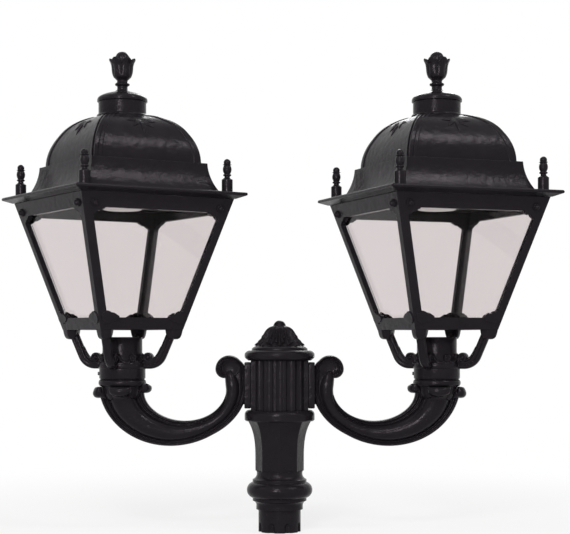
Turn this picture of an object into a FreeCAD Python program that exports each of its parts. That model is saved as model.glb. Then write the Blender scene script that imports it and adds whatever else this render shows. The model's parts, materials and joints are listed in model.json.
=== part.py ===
import FreeCAD, Part
import math
import os

V = FreeCAD.Vector

# Twin-arm post-top lantern head, in millimetres. +Z is up, the arms reach along X, the front is -Y.
# The origin is on the pole axis, at the mouth of the pole socket.

# How far a cut runs past the faces that it opens, and the play of a tight hole
past = 1.0
tight_clearance = 0.05
screw_tip_gap = 0.3

# Pole socket and column stub
pole_diameter = 60.0
pole_clearance = 0.3
pole_depth = 80.0
stub_diameter = 76.0
stub_length = 40.0
neck_wall = 4.8
neck_clearance = 0.2
nut_room_radius = 17.0
web_thickness = 10.0
flute_top = 18.0
stub_flutes = 8
stub_flute_radius = 6.6
stub_flute_depth = 4.0
pole_screw_radius = 4.0
pole_screw_height = 27.0
pole_screw_recess = 0.5
pole_screw_key = 3.6
pole_screw_key_depth = 3.0
pole_screw_angles = (60.0, 120.0)

# Knuckle collar
collar_height = 69.0
collar_foot_radius = 42.0
collar_ring_radius = 48.5
collar_torus_radius = 59.0
collar_ring_height = 5.0
collar_torus_height = 28.0
collar_cove_out = 2.0
collar_cove_rise = 3.0

# Bell sleeve
bell_height = 89.5
bell_foot_radius = 43.5
bell_waist_radius = 44.0
bell_waist_height = 40.0
bell_flare_radius = 48.0
bell_flare_height = 68.0
bell_top_radius = 57.0
bell_sides = 8
bell_bore_radius = 30.0

# Hub: seat ring, fluted drum and cap
seat_height = 19.5
seat_radius = 63.0
seat_round = 8.0
seat_chamfer = 2.0
drum_height = 89.0
drum_radius = 51.5
drum_wall = 15.0
drum_cavity_bulge = 3.0
drum_flutes = 18
drum_flute_radius = 9.0
drum_flute_depth = 3.4
cap_ring_height = 18.0
cap_ring_radius = 63.0
cap_step_height = 4.0
cap_leaf_height = 39.0
cap_step_out = 2.0
cap_leaf_radius = 50.0
cap_flare_radius = 37.5
cap_flare_height = 9.7
cap_waist_radius = 29.6
cap_waist_height = 22.5
cap_leaf_top_radius = 19.5
cap_leaves = 8
cap_groove_root = 4.5
cap_groove_tip = 2.0
cap_groove_lift = 1.5
cap_ball_radius = 11.0
cap_hollow_height = 12.0
cap_boss_wall = 7.0
cap_boss_gap = 1.0
rod_radius = 6.0
rod_clearance = 0.3
rod_nut_height = 10.0
rod_nut_flats = 19.0
rod_thread_depth = 28.0
rod_tail = 3.0
wire_hole_radius = 7.0
wire_hole_offset = 22.0
block_size = (34.0, 16.0, 28.0)
block_offset = 13.0
block_way_radius = 2.2
block_way_depth = 8.0

# Scroll arms
arm_reach = 283.0
plate_height = 83.0
plate_width = 44.0
plate_thickness = 11.5
arm_root = 27.5
arm_drop = 82.0
arm_level = 260.0
arm_root_half = 19.0
arm_waist_half = 17.3
arm_waist_angle = 50.0
arm_swell = 1.6
arm_heel = 4.0
arm_heel_angle = 60.0
arm_rim_end_angle = 175.0
arm_border = 9.5
arm_border_fade_angle = 90.0
arm_root_border = 13.0
arm_root_border_angle = 60.0
arm_tip_angle = -17.0
arm_tip_radius = 8.0
arm_web_half = 5.5
arm_rim = 5.0
arm_rim_half = 8.5
volute_radius = 25.0
volute_half = 15.0
volute_out = 27.5
volute_level = 291.3
volute_curl = 20.0
volute_curl_out = 6.5
volute_bulb_radius = 7.0
volute_recess = 7.0
volute_rim = 5.5
volute_neck = 8.0
cup_ring_radius = 42.7
cup_ring_height = 10.1
cup_level = 261.7
cup_neck = 5.0
cup_foot = 17.0
cup_depth = 40.0
leaf_roll_radius = 8.6
leaf_half_width = 19.0
leaf_reach = 53.0
leaf_spread = 44.0
leaf_drop = 9.0
leaf_depth = 27.0
leaf_tilt = 4.5
arm_bolt_radius = 4.0
arm_bolt_head_radius = 7.0
arm_bolt_head_height = 6.0
arm_bolt_inset = 22.0
arm_bolt_depth = 9.0
bolt_clearance = 0.2

# Spigot in the leaf cup
spigot_radius = 30.0
spigot_height = 60.0
spigot_flange_radius = 40.0
spigot_flange_height = 1.5
spigot_tenon_radius = 14.0
spigot_tenon_depth = 14.0
spigot_tenon_gap = 1.0
spigot_chamfer = 3.0
turn_clearance = 0.3

# Lantern yoke
lantern_yaw = {"left": 32.1, "right": 20.6}
yoke_collar_radius = 41.5
yoke_collar_height = 19.6
yoke_collar_chamfer = 2.0
yoke_tube_radius = 35.8
yoke_tube_height = 55.8
yoke_roof = 5.0
yoke_height = 88.4
foot_height = 16.0
foot_width = 28.0
foot_inner = 84.0
foot_draft = 5.0
leg_radius = 8.0
leg_level = 26.5
leg_top_radius = 91.5
leg_corner_radius = 68.0
leg_bend = 25.0
leg_ring_radius = 43.0
leg_ring_height = 9.0
leg_ring_slope = 20.0
bud_radius = 8.0
bud_place = 49.0
bud_sink = 3.0
collar_screw_radius = 3.0
collar_screw_angles = (30.0, 150.0)
collar_screw_proud = 2.5
foot_screw_radius = 2.5
foot_screw_head_radius = 4.5
foot_screw_head_height = 3.5
foot_screw_inset = 14.5

# Lantern frame
frame_height = 226.0
frame_top_half = 146.0
frame_bottom_half = 81.0
frame_wall = 9.0
bar_width = 16.0
bottom_rail = 21.0
top_rail = 20.0
frame_edge_round = 2.0
gusset_thickness = 5.0
gusset_leg = 24.0
bracket_radius = 13.0
bracket_lobe_radius = 6.5
bracket_lobe_gap = 1.5
lower_bracket_radius = 10.0
corner_plate_proud = 1.6
corner_plate_edge = 1.2
button_radius = 7.0
button_height = 3.0
button_dish = 1.2
button_rim = 2.0
button_inset = 3.0
button_rise = 7.0

# Diffuser and its gasket
diffuser_wall = 2.6
diffuser_gap = 0.6
diffuser_corner = 10.0
diffuser_flange = 6.0
diffuser_flange_height = 3.0
flange_clearance = 0.4
nub_radius = 4.0
nub_height = 4.0
gasket_height = 2.0

# Roof
roof_gap = 0.3
eave_out = 17.6
eave_height = 11.0
eave_tip = 5.5
eave_bevel = 14.0
eave_round = 1.0
eave_ledge = 34.1
eave_lip = 11.0
skirt_draft = 17.2
skirt_cove = 4.0
skirt_height = 53.0
roof_wall = 4.0
roof_shelf = 12.0
dome_ledge = 8.3
dome_side_in = 4.2
dome_side_height = 28.0
dome_shoulder_in = 16.5
dome_shoulder_height = 54.0
dome_crown_half = 64.0
dome_crown_drop = 9.5
dome_top_half = 33.0
dome_height = 88.0
dome_flange = 16.0
rib_height = 1.6
rib_inner = 6.0
rib_outer = 10.5
neck_radius = 42.8
neck_height = 26.0
neck_root = 20.0
flue_drop = 14.0
neck_ring_radius = 46.0
neck_ring_height = 8.0
vent_radius = 45.0
vent_height = 20.0
vent_rim = 13.5
vent_round = 3.0
vent_crown_radius = 28.0
vent_crown_drop = 2.7
vent_plug_depth = 8.0
vent_plug_clearance = 0.4
tulip_height = 71.0
tulip_foot_radius = 12.0
tulip_foot_height = 3.0
tulip_stem_radius = 9.3
tulip_bead_radius = 13.0
tulip_bead_level = 12.0
tulip_bead_height = 7.0
tulip_cup_level = 20.0
tulip_belly_radius = 17.5
tulip_belly_level = 29.4
tulip_waist_radius = 19.0
tulip_waist_level = 35.0
tulip_flare = 0.7
tulip_rim_radius = 23.7
tulip_rim_level = 55.0
tulip_rim_edge = 1.5
tulip_bud_radius = 14.0
tulip_petals = 6
tulip_crease = 2.4
tulip_notch = 4.5
finial_clearance = 2.2
finial_height = 60.0
finial_base_radius = 9.8
finial_base_height = 23.0
finial_shoulder_height = 4.0
finial_neck_radius = 5.0
finial_neck_height = 2.5
finial_bead_radius = 7.3
finial_bead_height = 3.5
finial_vase_radius = 7.8
finial_vase_height = 15.5
finial_lip_radius = 8.0
finial_lip_height = 2.5
finial_knob_radius = 5.8
reflector_clearance = 1.5
reflector_thickness = 2.0
lamp_radius = 37.0
lamp_height = 13.0
lamp_round = 6.0
holder_radius = 28.0
holder_height = 14.0
holder_chamfer = 3.0
driver_size = (90.0, 40.0, 25.0)
driver_offset = 30.0
driver_round = 3.0
roof_screw_radius = 2.5
roof_screw_length = 9.0
roof_screw_along = 80.0
roof_screw_inset = 7.0
roof_screw_head_radius = 5.0
roof_screw_head_height = 3.0
roof_screw_clearance = 0.1

# Hinge and catch between frame and roof
hinge_out = 8.0
hinge_below = 3.0
hinge_radius = 6.0
hinge_lug_rise = 2.0
hinge_root = 2.0
pin_radius = 2.5
pin_clearance = 0.3
hinge_spread = 70.0
knuckle_length = 20.0
knuckle_gap = 0.4
catch_radius = 2.5
catch_clearance = 0.6
catch_lug_clearance = 0.1
catch_end_gap = 1.0
catch_depth = 7.0
catch_head_radius = 6.0
catch_head_height = 5.0
catch_along = 90.0
lug_width = 20.0
lug_thickness = 8.0

# Levels along the post
collar_level = stub_length
bell_level = collar_level + collar_height
seat_level = bell_level + bell_height
drum_level = seat_level + seat_height
cap_level = drum_level + drum_height
leaf_level = cap_level + cap_ring_height + cap_step_height
web_level = bell_level - web_thickness
neck_radius_outer = pole_diameter / 2 + pole_clearance + neck_wall
cavity_radius = drum_radius - drum_wall + drum_cavity_bulge
plate_face = drum_radius + plate_thickness
plate_level = drum_level + (drum_height - plate_height) / 2

# Levels up each lantern
cup_top = cup_level + cup_ring_height
yoke_level = cup_top + spigot_flange_height + turn_clearance
frame_level = yoke_level + yoke_height
frame_top = frame_level + frame_height
gasket_level = frame_top
flange_level = gasket_level + gasket_height
rim_level = flange_level + diffuser_flange_height
roof_level = rim_level + roof_gap
eave_top = roof_level + eave_height
dome_level = eave_top + skirt_height
neck_level = dome_level + dome_height
vent_level = neck_level + neck_height
tulip_base = vent_level + vent_height
eave_half = frame_top_half + eave_out
skirt_base_half = eave_half - eave_ledge
skirt_top_half = skirt_base_half - skirt_draft
eave_opening = skirt_base_half - eave_lip
dome_base_half = skirt_top_half - dome_ledge
flange_half = frame_top_half - frame_wall + diffuser_flange
finial_half = skirt_base_half + (finial_clearance + finial_base_radius) / math.sqrt(2.0)
hinge_half = frame_top_half + hinge_out
hinge_level = frame_top - hinge_below
slant = (frame_top_half - frame_bottom_half) / frame_height


# Basic forms

def point(pair):
    return V(pair[0], 0, pair[1])


def outline(start, *steps):
    # A closed face in the XZ plane: a pair is a line's end, two pairs are an arc's middle and end.
    edges = []
    here = start
    for step in steps:
        if isinstance(step[0], tuple):
            edges.append(Part.Arc(point(here), point(step[0]), point(step[1])).toShape())
            here = step[1]
        else:
            edges.append(Part.makeLine(point(here), point(step)))
            here = step
    if math.dist(here, start) > 1e-6:
        edges.append(Part.makeLine(point(here), point(start)))
    return Part.Face(Part.Wire(edges))


def crown(radius, level, top):
    # Arc of a spherical cap from a rim to its top on the axis.
    rise = top - level
    ball = (radius ** 2 + rise ** 2) / (2 * rise)
    centre = top - ball
    angle = (math.atan2(level - centre, radius) + math.pi / 2) / 2
    return (ball * math.cos(angle), centre + ball * math.sin(angle)), (0, top)


def turned(face, angle=360.0):
    return face.revolve(V(0, 0, 0), V(0, 0, 1), angle)


def box(x0, x1, y0, y1, z0, z1):
    return Part.makeBox(x1 - x0, y1 - y0, z1 - z0, V(x0, y0, z0))


def rod(radius, z0, z1, x=0.0, y=0.0):
    return Part.makeCylinder(radius, z1 - z0, V(x, y, z0), V(0, 0, 1))


def turn(shape, angle):
    copy = shape.copy()
    copy.rotate(V(0, 0, 0), V(0, 0, 1), angle)
    return copy


def ring_of(shape, count, first=0.0):
    return [turn(shape, first + 360.0 * k / count) for k in range(count)]


def joined(pieces):
    whole = pieces[0].multiFuse(pieces[1:])
    return whole.removeSplitter()


def square_form(start, *steps):
    # A square-plan body from one half outline, x from 0 outwards: two crossed prisms, intersected.
    half = outline(start, *steps)
    reach = half.BoundBox.XMax + 1.0
    half.translate(V(0, -reach, 0))
    prism = half.extrude(V(0, 2 * reach, 0))
    prism = joined([prism, turn(prism, 180)])
    return prism.common(turn(prism, 90))


def square_wire(half, z, corner):
    # A square with rounded corners at height z.
    arm = half - corner
    tip = corner * (1 - math.sqrt(0.5))
    edges = []
    for k in range(4):
        side = Part.makeLine(V(half, -arm, z), V(half, arm, z))
        bend = Part.Arc(V(half, arm, z), V(half - tip, half - tip, z), V(arm, half, z)).toShape()
        edges += [turn(side, 90 * k), turn(bend, 90 * k)]
    return Part.Wire(edges)


def tapered(half0, z0, half1, z1, corner):
    return Part.makeLoft([square_wire(half0, z0, corner), square_wire(half1, z1, corner)], True, True)


def frame_half(z):
    return frame_bottom_half + slant * (z - frame_level)


def save(shape, name):
    shape.exportStep("parts/" + name + ".step")


# Column head

def column_stub():
    bore = pole_diameter / 2 + pole_clearance
    body = turned(outline(
        (bore, 0), (stub_diameter / 2, 0), (stub_diameter / 2, stub_length),
        (neck_radius_outer, stub_length), (neck_radius_outer, bell_level),
        (rod_radius + rod_clearance, bell_level), (rod_radius + rod_clearance, web_level),
        (nut_room_radius, web_level), (nut_room_radius, pole_depth), (bore, pole_depth)))
    flute_axis = stub_diameter / 2 + stub_flute_radius - stub_flute_depth
    arch = flute_top - stub_flute_radius
    flute = rod(stub_flute_radius, -past, arch, flute_axis).fuse(
        Part.makeSphere(stub_flute_radius, V(flute_axis, 0, arch)))
    cuts = ring_of(flute, stub_flutes, 180.0 / stub_flutes)
    cuts += [turn(pole_screw(bolt_clearance, past), a) for a in pole_screw_angles]
    cuts.append(rod(wire_hole_radius, web_level - past, bell_level + past, 0, -wire_hole_offset))
    return body.cut(Part.makeCompound(cuts))


def pole_screw(extra=0.0, over=0.0):
    # A grub screw that points at the pole, its tip just outside the bore.
    tip = pole_diameter / 2 + pole_clearance + screw_tip_gap - over
    length = stub_diameter / 2 - pole_screw_recess + over - tip
    return Part.makeCylinder(pole_screw_radius + extra, length, V(tip, 0, pole_screw_height), V(1, 0, 0))


def pole_screws():
    key = pole_screw_key / 2
    face = stub_diameter / 2 - pole_screw_recess
    socket = box(face - pole_screw_key_depth, face + past, -key, key, pole_screw_height - key,
                 pole_screw_height + key)
    screw = pole_screw().cut(socket)
    return Part.makeCompound([turn(screw, a) for a in pole_screw_angles])


def knuckle_collar():
    bore = neck_radius_outer + neck_clearance
    torus_low = collar_level + (collar_height - collar_torus_height) / 2
    torus_high = torus_low + collar_torus_height
    middle = (torus_low + torus_high) / 2
    ring_low = torus_low - collar_ring_height
    ring_high = torus_high + collar_ring_height
    return turned(outline(
        (bore, collar_level), (collar_foot_radius, collar_level),
        (collar_foot_radius, collar_level + collar_ring_height),
        ((collar_foot_radius + collar_cove_out, ring_low - collar_cove_rise), (collar_ring_radius, ring_low)),
        (collar_ring_radius, torus_low),
        ((collar_torus_radius, middle), (collar_ring_radius, torus_high)),
        (collar_ring_radius, ring_high),
        ((collar_foot_radius + collar_cove_out, ring_high + collar_cove_rise),
         (collar_foot_radius, bell_level)),
        (bore, bell_level)))


def polygon_wire(radius, z, sides):
    corners = [turn(Part.Vertex(V(0, -radius, z)), 360.0 * k / sides).Point for k in range(sides)]
    return Part.makePolygon(corners + corners[:1])


def bell_sleeve():
    # Faceted sleeve that flares like a bell, lofted through regular polygons.
    stations = ((0.0, bell_foot_radius), (bell_waist_height, bell_waist_radius),
                (bell_flare_height, bell_flare_radius), (bell_height, bell_top_radius))
    body = Part.makeLoft([polygon_wire(radius, bell_level + rise, bell_sides) for rise, radius in stations],
                         True, False)
    return body.cut(rod(bell_bore_radius, bell_level - past, seat_level + past))


def seat_ring():
    body = turned(outline(
        (rod_radius + rod_clearance, seat_level), (seat_radius - seat_chamfer, seat_level),
        (seat_radius, seat_level + seat_chamfer), (seat_radius, drum_level - seat_round),
        ((seat_radius - seat_round * (1 - math.sqrt(0.5)), drum_level - seat_round * (1 - math.sqrt(0.5))),
         (seat_radius - seat_round, drum_level)),
        (rod_radius + rod_clearance, drum_level)))
    return body.cut(rod(wire_hole_radius, seat_level - past, drum_level + past, 0, -wire_hole_offset))


def fluted_drum():
    inner_face = drum_radius - drum_wall
    body = rod(drum_radius, drum_level, cap_level)
    axis = drum_radius + drum_flute_radius - drum_flute_depth
    flute = rod(drum_flute_radius, drum_level - past, cap_level + past, axis)
    cuts = []
    for k in range(drum_flutes):
        angle = 360.0 * (k + 0.5) / drum_flutes
        if abs(math.sin(math.radians(angle))) * drum_radius > plate_width / 2:
            cuts.append(turn(flute, angle))
    cavity = rod(cavity_radius, drum_level - past, cap_level + past)
    cuts.append(cavity.common(box(-inner_face, inner_face, -drum_radius, drum_radius,
                                  drum_level - past, cap_level + past)))
    body = body.cut(Part.makeCompound(cuts))
    half = plate_width / 2
    pads = []
    for side in (-1, 1):
        x0, x1 = sorted((side * inner_face, side * drum_radius))
        pads.append(box(x0, x1, -half, half, drum_level, cap_level))
    body = joined([body] + pads)
    holes = [turn(bolt_shank(z, bolt_clearance), a) for z in bolt_levels() for a in (0, 180)]
    return body.cut(Part.makeCompound(holes))


def bolt_levels():
    return (plate_level + arm_bolt_inset, plate_level + plate_height - arm_bolt_inset)


def bolt_shank(z, extra=0.0):
    start = drum_radius - drum_wall
    return Part.makeCylinder(arm_bolt_radius + extra, drum_wall + arm_bolt_depth + extra,
                             V(start, 0, z), V(1, 0, 0))


def arm_bolts(side):
    # Hexagon bolts from inside the drum, through its pad and into the arm's plate.
    bolts = []
    for z in bolt_levels():
        head = hexagon(arm_bolt_head_radius, arm_bolt_head_height)
        head.rotate(V(0, 0, 0), V(0, 1, 0), -90)
        head.translate(V(drum_radius - drum_wall, 0, z))
        bolts.append(turn(bolt_shank(z).fuse(head), 180 if side < 0 else 0))
    return Part.makeCompound(bolts)


def hexagon(radius, height):
    return Part.Face(polygon_wire(radius, 0, 6)).extrude(V(0, 0, height))


def hub_cap():
    ring_mid = cap_level + cap_ring_height / 2
    step_level = cap_level + cap_ring_height
    top = leaf_level + cap_leaf_height
    boss = rod_radius + cap_boss_wall
    hollow = cavity_radius
    body = turned(outline(
        (0, cap_level + cap_boss_gap), (boss, cap_level + cap_boss_gap), (boss, cap_level + cap_hollow_height),
        (hollow, cap_level + cap_hollow_height), (hollow, cap_level),
        (cap_ring_radius - cap_ring_height / 2, cap_level),
        ((cap_ring_radius, ring_mid), (cap_ring_radius - cap_ring_height / 2, step_level)),
        (cap_leaf_radius + cap_step_out, step_level), (cap_leaf_radius + cap_step_out, leaf_level),
        (cap_leaf_radius, leaf_level),
        ((cap_flare_radius, leaf_level + cap_flare_height), (cap_waist_radius, leaf_level + cap_waist_height)),
        (cap_leaf_top_radius, top), (0, top)))
    ball = Part.makeSphere(cap_ball_radius, V(0, 0, top))
    foot = V(cap_leaf_radius, 0, leaf_level + cap_flare_height / 2)
    tip = V(cap_leaf_top_radius + cap_groove_lift, 0, top)
    waist = V(cap_waist_radius + cap_groove_lift, 0, leaf_level + cap_waist_height)
    lower = Part.makeCone(cap_groove_root, cap_groove_tip, (waist - foot).Length, foot, waist - foot)
    upper = Part.makeCone(cap_groove_tip, cap_groove_tip / 2, (tip - waist).Length, waist, tip - waist)
    first = 180.0 / cap_leaves
    for groove in ring_of(lower, cap_leaves, first) + ring_of(upper, cap_leaves, first):
        body = body.cut(groove)
    body = joined([body, ball])
    return body.cut(rod(rod_radius + rod_clearance, cap_level, cap_level + rod_thread_depth + past))


def tie_rod():
    return rod(rod_radius, web_level - rod_nut_height - rod_tail, cap_level + rod_thread_depth)


def tie_nut():
    nut = hexagon(rod_nut_flats / math.sqrt(3.0), rod_nut_height)
    nut.translate(V(0, 0, web_level - rod_nut_height))
    return nut.cut(rod(rod_radius + tight_clearance, web_level - rod_nut_height - past, web_level + past))


def junction_block():
    length, depth, height = block_size
    body = box(-length / 2, length / 2, block_offset, block_offset + depth, drum_level, drum_level + height)
    top = drum_level + height
    ways = [rod(block_way_radius, top - block_way_depth, top + past, x, block_offset + depth / 2)
            for x in (-length / 3, 0, length / 3)]
    return body.cut(Part.makeCompound(ways))


# Scroll arms, made for +X and turned round for the other side

def arm_frame(angle):
    # Place, outward normal and half width of the arm at an angle along its half-ellipse.
    root = plate_face + arm_root / 2
    half_span = (arm_reach - root) / 2
    t = math.radians(angle)
    centre = V((root + arm_reach) / 2 - half_span * math.cos(t), 0, arm_level - arm_drop * math.sin(t))
    normal = V(-math.cos(t) / half_span, 0, -math.sin(t) / arm_drop).normalize()
    if angle < arm_waist_angle:
        share = ((arm_waist_angle - max(angle, 0.0)) / arm_waist_angle) ** 2
        half = arm_waist_half + (arm_root_half - arm_waist_half) * share
    else:
        share = ((angle - arm_waist_angle) / (180.0 - arm_waist_angle)) ** arm_swell
        half = arm_waist_half + (cup_ring_radius - arm_waist_half) * share
    if angle > arm_heel_angle:
        heel = arm_heel / 2 * math.sin(math.pi * (angle - arm_heel_angle) / (180.0 - arm_heel_angle))
        centre = centre + normal * heel
        half += heel
    return centre, normal, half


def arm_edge(angles, side, inset):
    # A smooth curve along one edge of the arm, moved in by an inset.
    points = []
    for angle in angles:
        centre, normal, half = arm_frame(angle)
        points.append(centre + normal * (side * (half - inset)))
    curve = Part.BSplineCurve()
    curve.interpolate(points)
    return curve.toShape(), points


def arm_strip(first, second, thickness_half):
    # The flat strip between two edge curves, given as (side, inset), to both sides of the arm's plane.
    angles = [arm_rim_end_angle * k / 9 for k in range(10)]
    lower, low = arm_edge(angles, *first)
    upper, high = arm_edge(angles, *second)
    face = Part.Face(Part.Wire([lower, Part.makeLine(low[-1], high[-1]), upper,
                                Part.makeLine(high[0], low[0])]))
    face.translate(V(0, -thickness_half, 0))
    return face.extrude(V(0, 2 * thickness_half, 0))


def core_circle(angle):
    # Centre, radius and direction of the round body between the two borders.
    centre, normal, half = arm_frame(angle)
    upper = arm_border * min(max(angle, 0.0) / arm_border_fade_angle, 1.0)
    fade = max(1.0 - max(angle, 0.0) / arm_root_border_angle, 0.0)
    lower = arm_border + (arm_root_border - arm_border) * fade
    radius = half - (upper + lower) / 2
    if angle < 0.0:
        radius += (arm_tip_radius - radius) * angle / arm_tip_angle
    return centre + normal * ((upper - lower) / 2), radius, V(-normal.z, 0, normal.x)


def arm_core():
    # The round body of the arm: circles along the half-ellipse, with a ball at its tip in the volute.
    angles = [arm_tip_angle, arm_tip_angle / 2] + [180.0 * k / 8 for k in range(9)]
    wires = []
    for angle in angles:
        centre, radius, along = core_circle(angle)
        wires.append(Part.Wire([Part.makeCircle(radius, centre, along)]))
    centre, radius, along = core_circle(arm_tip_angle)
    return [Part.makeLoft(wires, True, False), Part.makeSphere(radius, centre)]


def scroll_face(inset):
    # Outline of the scroll end, moved in by an inset: a half round above, tightening below to the curl.
    x = plate_face + volute_out
    radius = volute_radius - inset
    depth = volute_curl - inset
    lean = math.sqrt(0.5)
    return outline(
        (x - radius, volute_level), ((x, volute_level + radius), (x + radius, volute_level)),
        ((x + volute_curl_out + (radius - volute_curl_out) * lean, volute_level - depth * lean),
         (x + volute_curl_out, volute_level - depth)),
        (x - radius, volute_level - depth))


def volute():
    # Scroll end: a rolled rim round a hollow on each face, a bulb in the curl, and a mouth for the arm.
    x = plate_face + volute_out
    depth = V(0, 2 * volute_half, 0)
    disc = scroll_face(0.0)
    disc.translate(V(0, -volute_half, 0))
    neck = box(plate_face - past, plate_face + volute_neck, -volute_half, volute_half,
               plate_level + volute_neck, plate_level + plate_height - past)
    floor = volute_half - volute_recess
    tip, tip_radius, along = core_circle(arm_tip_angle / 2)
    scroll = joined([disc.extrude(depth), neck])
    for side in (-1, 1):
        y0, y1 = sorted((side * floor, side * (volute_half + past)))
        hollow = scroll_face(volute_rim)
        hollow.translate(V(0, y0, 0))
        gate = box(plate_face + volute_neck, tip.x + tip_radius, y0, y1, volute_level - 2 * volute_curl,
                   volute_level - volute_rim)
        scroll = scroll.cut(hollow.extrude(V(0, y1 - y0, 0))).cut(gate)
    bulb = Part.makeCylinder(volute_bulb_radius, 2 * volute_half,
                             V(x + volute_curl_out + volute_bulb_radius / 2, -volute_half,
                               volute_level - volute_curl + volute_bulb_radius), V(0, 1, 0))
    return joined([scroll, bulb])


def leaf_lip():
    # Rolled leaf tip: an ellipsoid whose long axis lies along the rim of the cup.
    half = Part.Ellipse(V(0, 0, 0), leaf_half_width, leaf_roll_radius).toShape(0, math.pi)
    ends = [v.Point for v in half.Vertexes]
    lip = Part.Face(Part.Wire([half, Part.makeLine(ends[1], ends[0])]))
    lip = lip.revolve(V(0, 0, 0), V(1, 0, 0), 360)
    lip = turn(lip, 90)
    lip.translate(V(leaf_reach - leaf_roll_radius, 0, cup_level - leaf_drop))
    return lip


def leaf_cup():
    # Ring, flared cup and four rolled leaves round the lantern's axis; the leaves rise towards the hub.
    low = cup_level - cup_depth
    body = turned(outline(
        (0, low), (cup_ring_radius - cup_foot, low), (cup_ring_radius - cup_neck, cup_level),
        (cup_ring_radius - cup_ring_height / 4, cup_level),
        ((cup_ring_radius, cup_level + cup_ring_height / 2),
         (cup_ring_radius - cup_ring_height / 4, cup_top)),
        (0, cup_top)))
    tip_level = cup_level - leaf_drop
    back_level = cup_level - leaf_depth
    back = turned(outline(
        (cup_ring_radius - 2 * cup_foot, back_level), (cup_ring_radius - cup_foot, back_level),
        (leaf_reach - leaf_roll_radius, tip_level - leaf_roll_radius),
        (leaf_reach - leaf_roll_radius, tip_level), (cup_ring_radius - cup_neck, cup_level - leaf_tilt),
        (cup_ring_radius - 2 * cup_foot, cup_level - leaf_tilt)), leaf_spread)
    leaf = joined([turn(back, -leaf_spread / 2), leaf_lip()])
    pieces = [body]
    for k, lift in enumerate((-leaf_tilt, 0.0, leaf_tilt, 0.0)):
        petal = turn(leaf, 90.0 * k)
        petal.translate(V(0, 0, lift))
        pieces.append(petal)
    cup = joined(pieces)
    cup.translate(V(arm_reach, 0, 0))
    return cup


def scroll_arm(side):
    half = plate_width / 2
    plate = box(drum_radius, plate_face, -half, half, plate_level, plate_level + plate_height)
    web = arm_strip((1, 0.0), (-1, 0.0), arm_web_half)
    rims = [arm_strip((edge, 0.0), (edge, arm_rim), arm_rim_half) for edge in (-1, 1)]
    arm = joined([plate, web] + rims + arm_core() + [volute()])
    over = box(-drum_radius, drum_radius, -seat_radius, seat_radius, 0, cap_level + seat_radius)
    socket = rod(spigot_tenon_radius + bolt_clearance, cup_top - spigot_tenon_depth - spigot_tenon_gap,
                 cup_top + past, arm_reach)
    cuts = [over, socket] + [bolt_shank(z, bolt_clearance) for z in bolt_levels()]
    arm = joined([arm, leaf_cup()]).cut(Part.makeCompound(cuts))
    return turn(arm, 180 if side < 0 else 0)


def spigot(side):
    body = turned(outline(
        (wire_hole_radius, cup_top - spigot_tenon_depth), (spigot_tenon_radius, cup_top - spigot_tenon_depth),
        (spigot_tenon_radius, cup_top), (spigot_flange_radius, cup_top),
        (spigot_flange_radius, cup_top + spigot_flange_height),
        (spigot_radius, cup_top + spigot_flange_height),
        (spigot_radius, cup_top + spigot_height - spigot_chamfer),
        (spigot_radius - spigot_chamfer, cup_top + spigot_height),
        (wire_hole_radius, cup_top + spigot_height)))
    body.translate(V(side * arm_reach, 0, 0))
    return body


# Lantern body, in its own frame with the axis at the origin and the hinge at +Y

def screw_circle():
    return frame_bottom_half * math.sqrt(2.0) - foot_screw_inset


def yoke_leg():
    # A strut from the foot under a frame corner, bent in level to the tube, with a bud on its bend.
    start = V(leg_top_radius, 0, frame_level - foot_height / 2)
    corner = V(leg_corner_radius, 0, yoke_level + leg_level)
    inward = V(yoke_tube_radius - leg_radius, 0, corner.z)
    slope = (start - corner).normalize()
    turn_angle = slope.getAngle(V(1, 0, 0))
    reach = leg_bend * math.tan(turn_angle / 2)
    bend_in = corner + slope * reach
    bend_out = corner - V(reach, 0, 0)
    middle = corner + (slope - V(1, 0, 0)).normalize() * (leg_bend / math.cos(turn_angle / 2) - leg_bend)
    path = [Part.makeLine(start, bend_in), Part.Arc(bend_in, middle, bend_out).toShape()]
    if bend_out.x > inward.x:
        path.append(Part.makeLine(bend_out, inward))
    section = Part.Wire([Part.makeCircle(leg_radius, start, slope)])
    strut = Part.Wire(path).makePipeShell([section], True, False)
    bud = Part.makeSphere(bud_radius, V(bud_place, 0, corner.z + leg_radius + bud_radius - bud_sink))
    low = frame_level - foot_height
    block = box(foot_inner, 2 * frame_bottom_half, -foot_width / 2, foot_width / 2, low, frame_level)
    corner_form = tapered(frame_bottom_half - foot_draft, low, frame_bottom_half, frame_level, frame_edge_round)
    return [strut, bud, block.common(turn(corner_form, 45))]


def yoke():
    bore = spigot_radius + turn_clearance
    collar_top = yoke_level + yoke_collar_height
    ring_top = collar_top + leg_ring_height
    tube_top = collar_top + yoke_tube_height
    hip = ((leg_ring_radius + 3 * yoke_tube_radius) / 4, ring_top + leg_ring_slope / 3)
    body = turned(outline(
        (bore, yoke_level), (yoke_collar_radius - yoke_collar_chamfer, yoke_level),
        (yoke_collar_radius, yoke_level + yoke_collar_chamfer),
        (yoke_collar_radius, collar_top), (leg_ring_radius, collar_top), (leg_ring_radius, ring_top),
        (hip, (yoke_tube_radius, ring_top + leg_ring_slope)), (yoke_tube_radius, tube_top),
        (wire_hole_radius, tube_top), (wire_hole_radius, tube_top - yoke_roof), (bore, tube_top - yoke_roof)))
    legs = []
    for part in yoke_leg():
        legs += ring_of(part, 4, 45.0)
    body = joined([body] + legs)
    low = frame_level - foot_height
    cuts = [rod(bore, yoke_level - past, tube_top - yoke_roof)]
    cuts += [turn(collar_screw(bolt_clearance), a) for a in collar_screw_angles]
    cuts += ring_of(rod(foot_screw_radius + bolt_clearance, low - past, frame_level + past, screw_circle()),
                    4, 45.0)
    cuts += ring_of(rod(foot_screw_head_radius + bolt_clearance, low - past,
                        low + foot_screw_head_height, screw_circle()), 4, 45.0)
    for cut in cuts:
        body = body.cut(cut)
    return body


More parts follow.
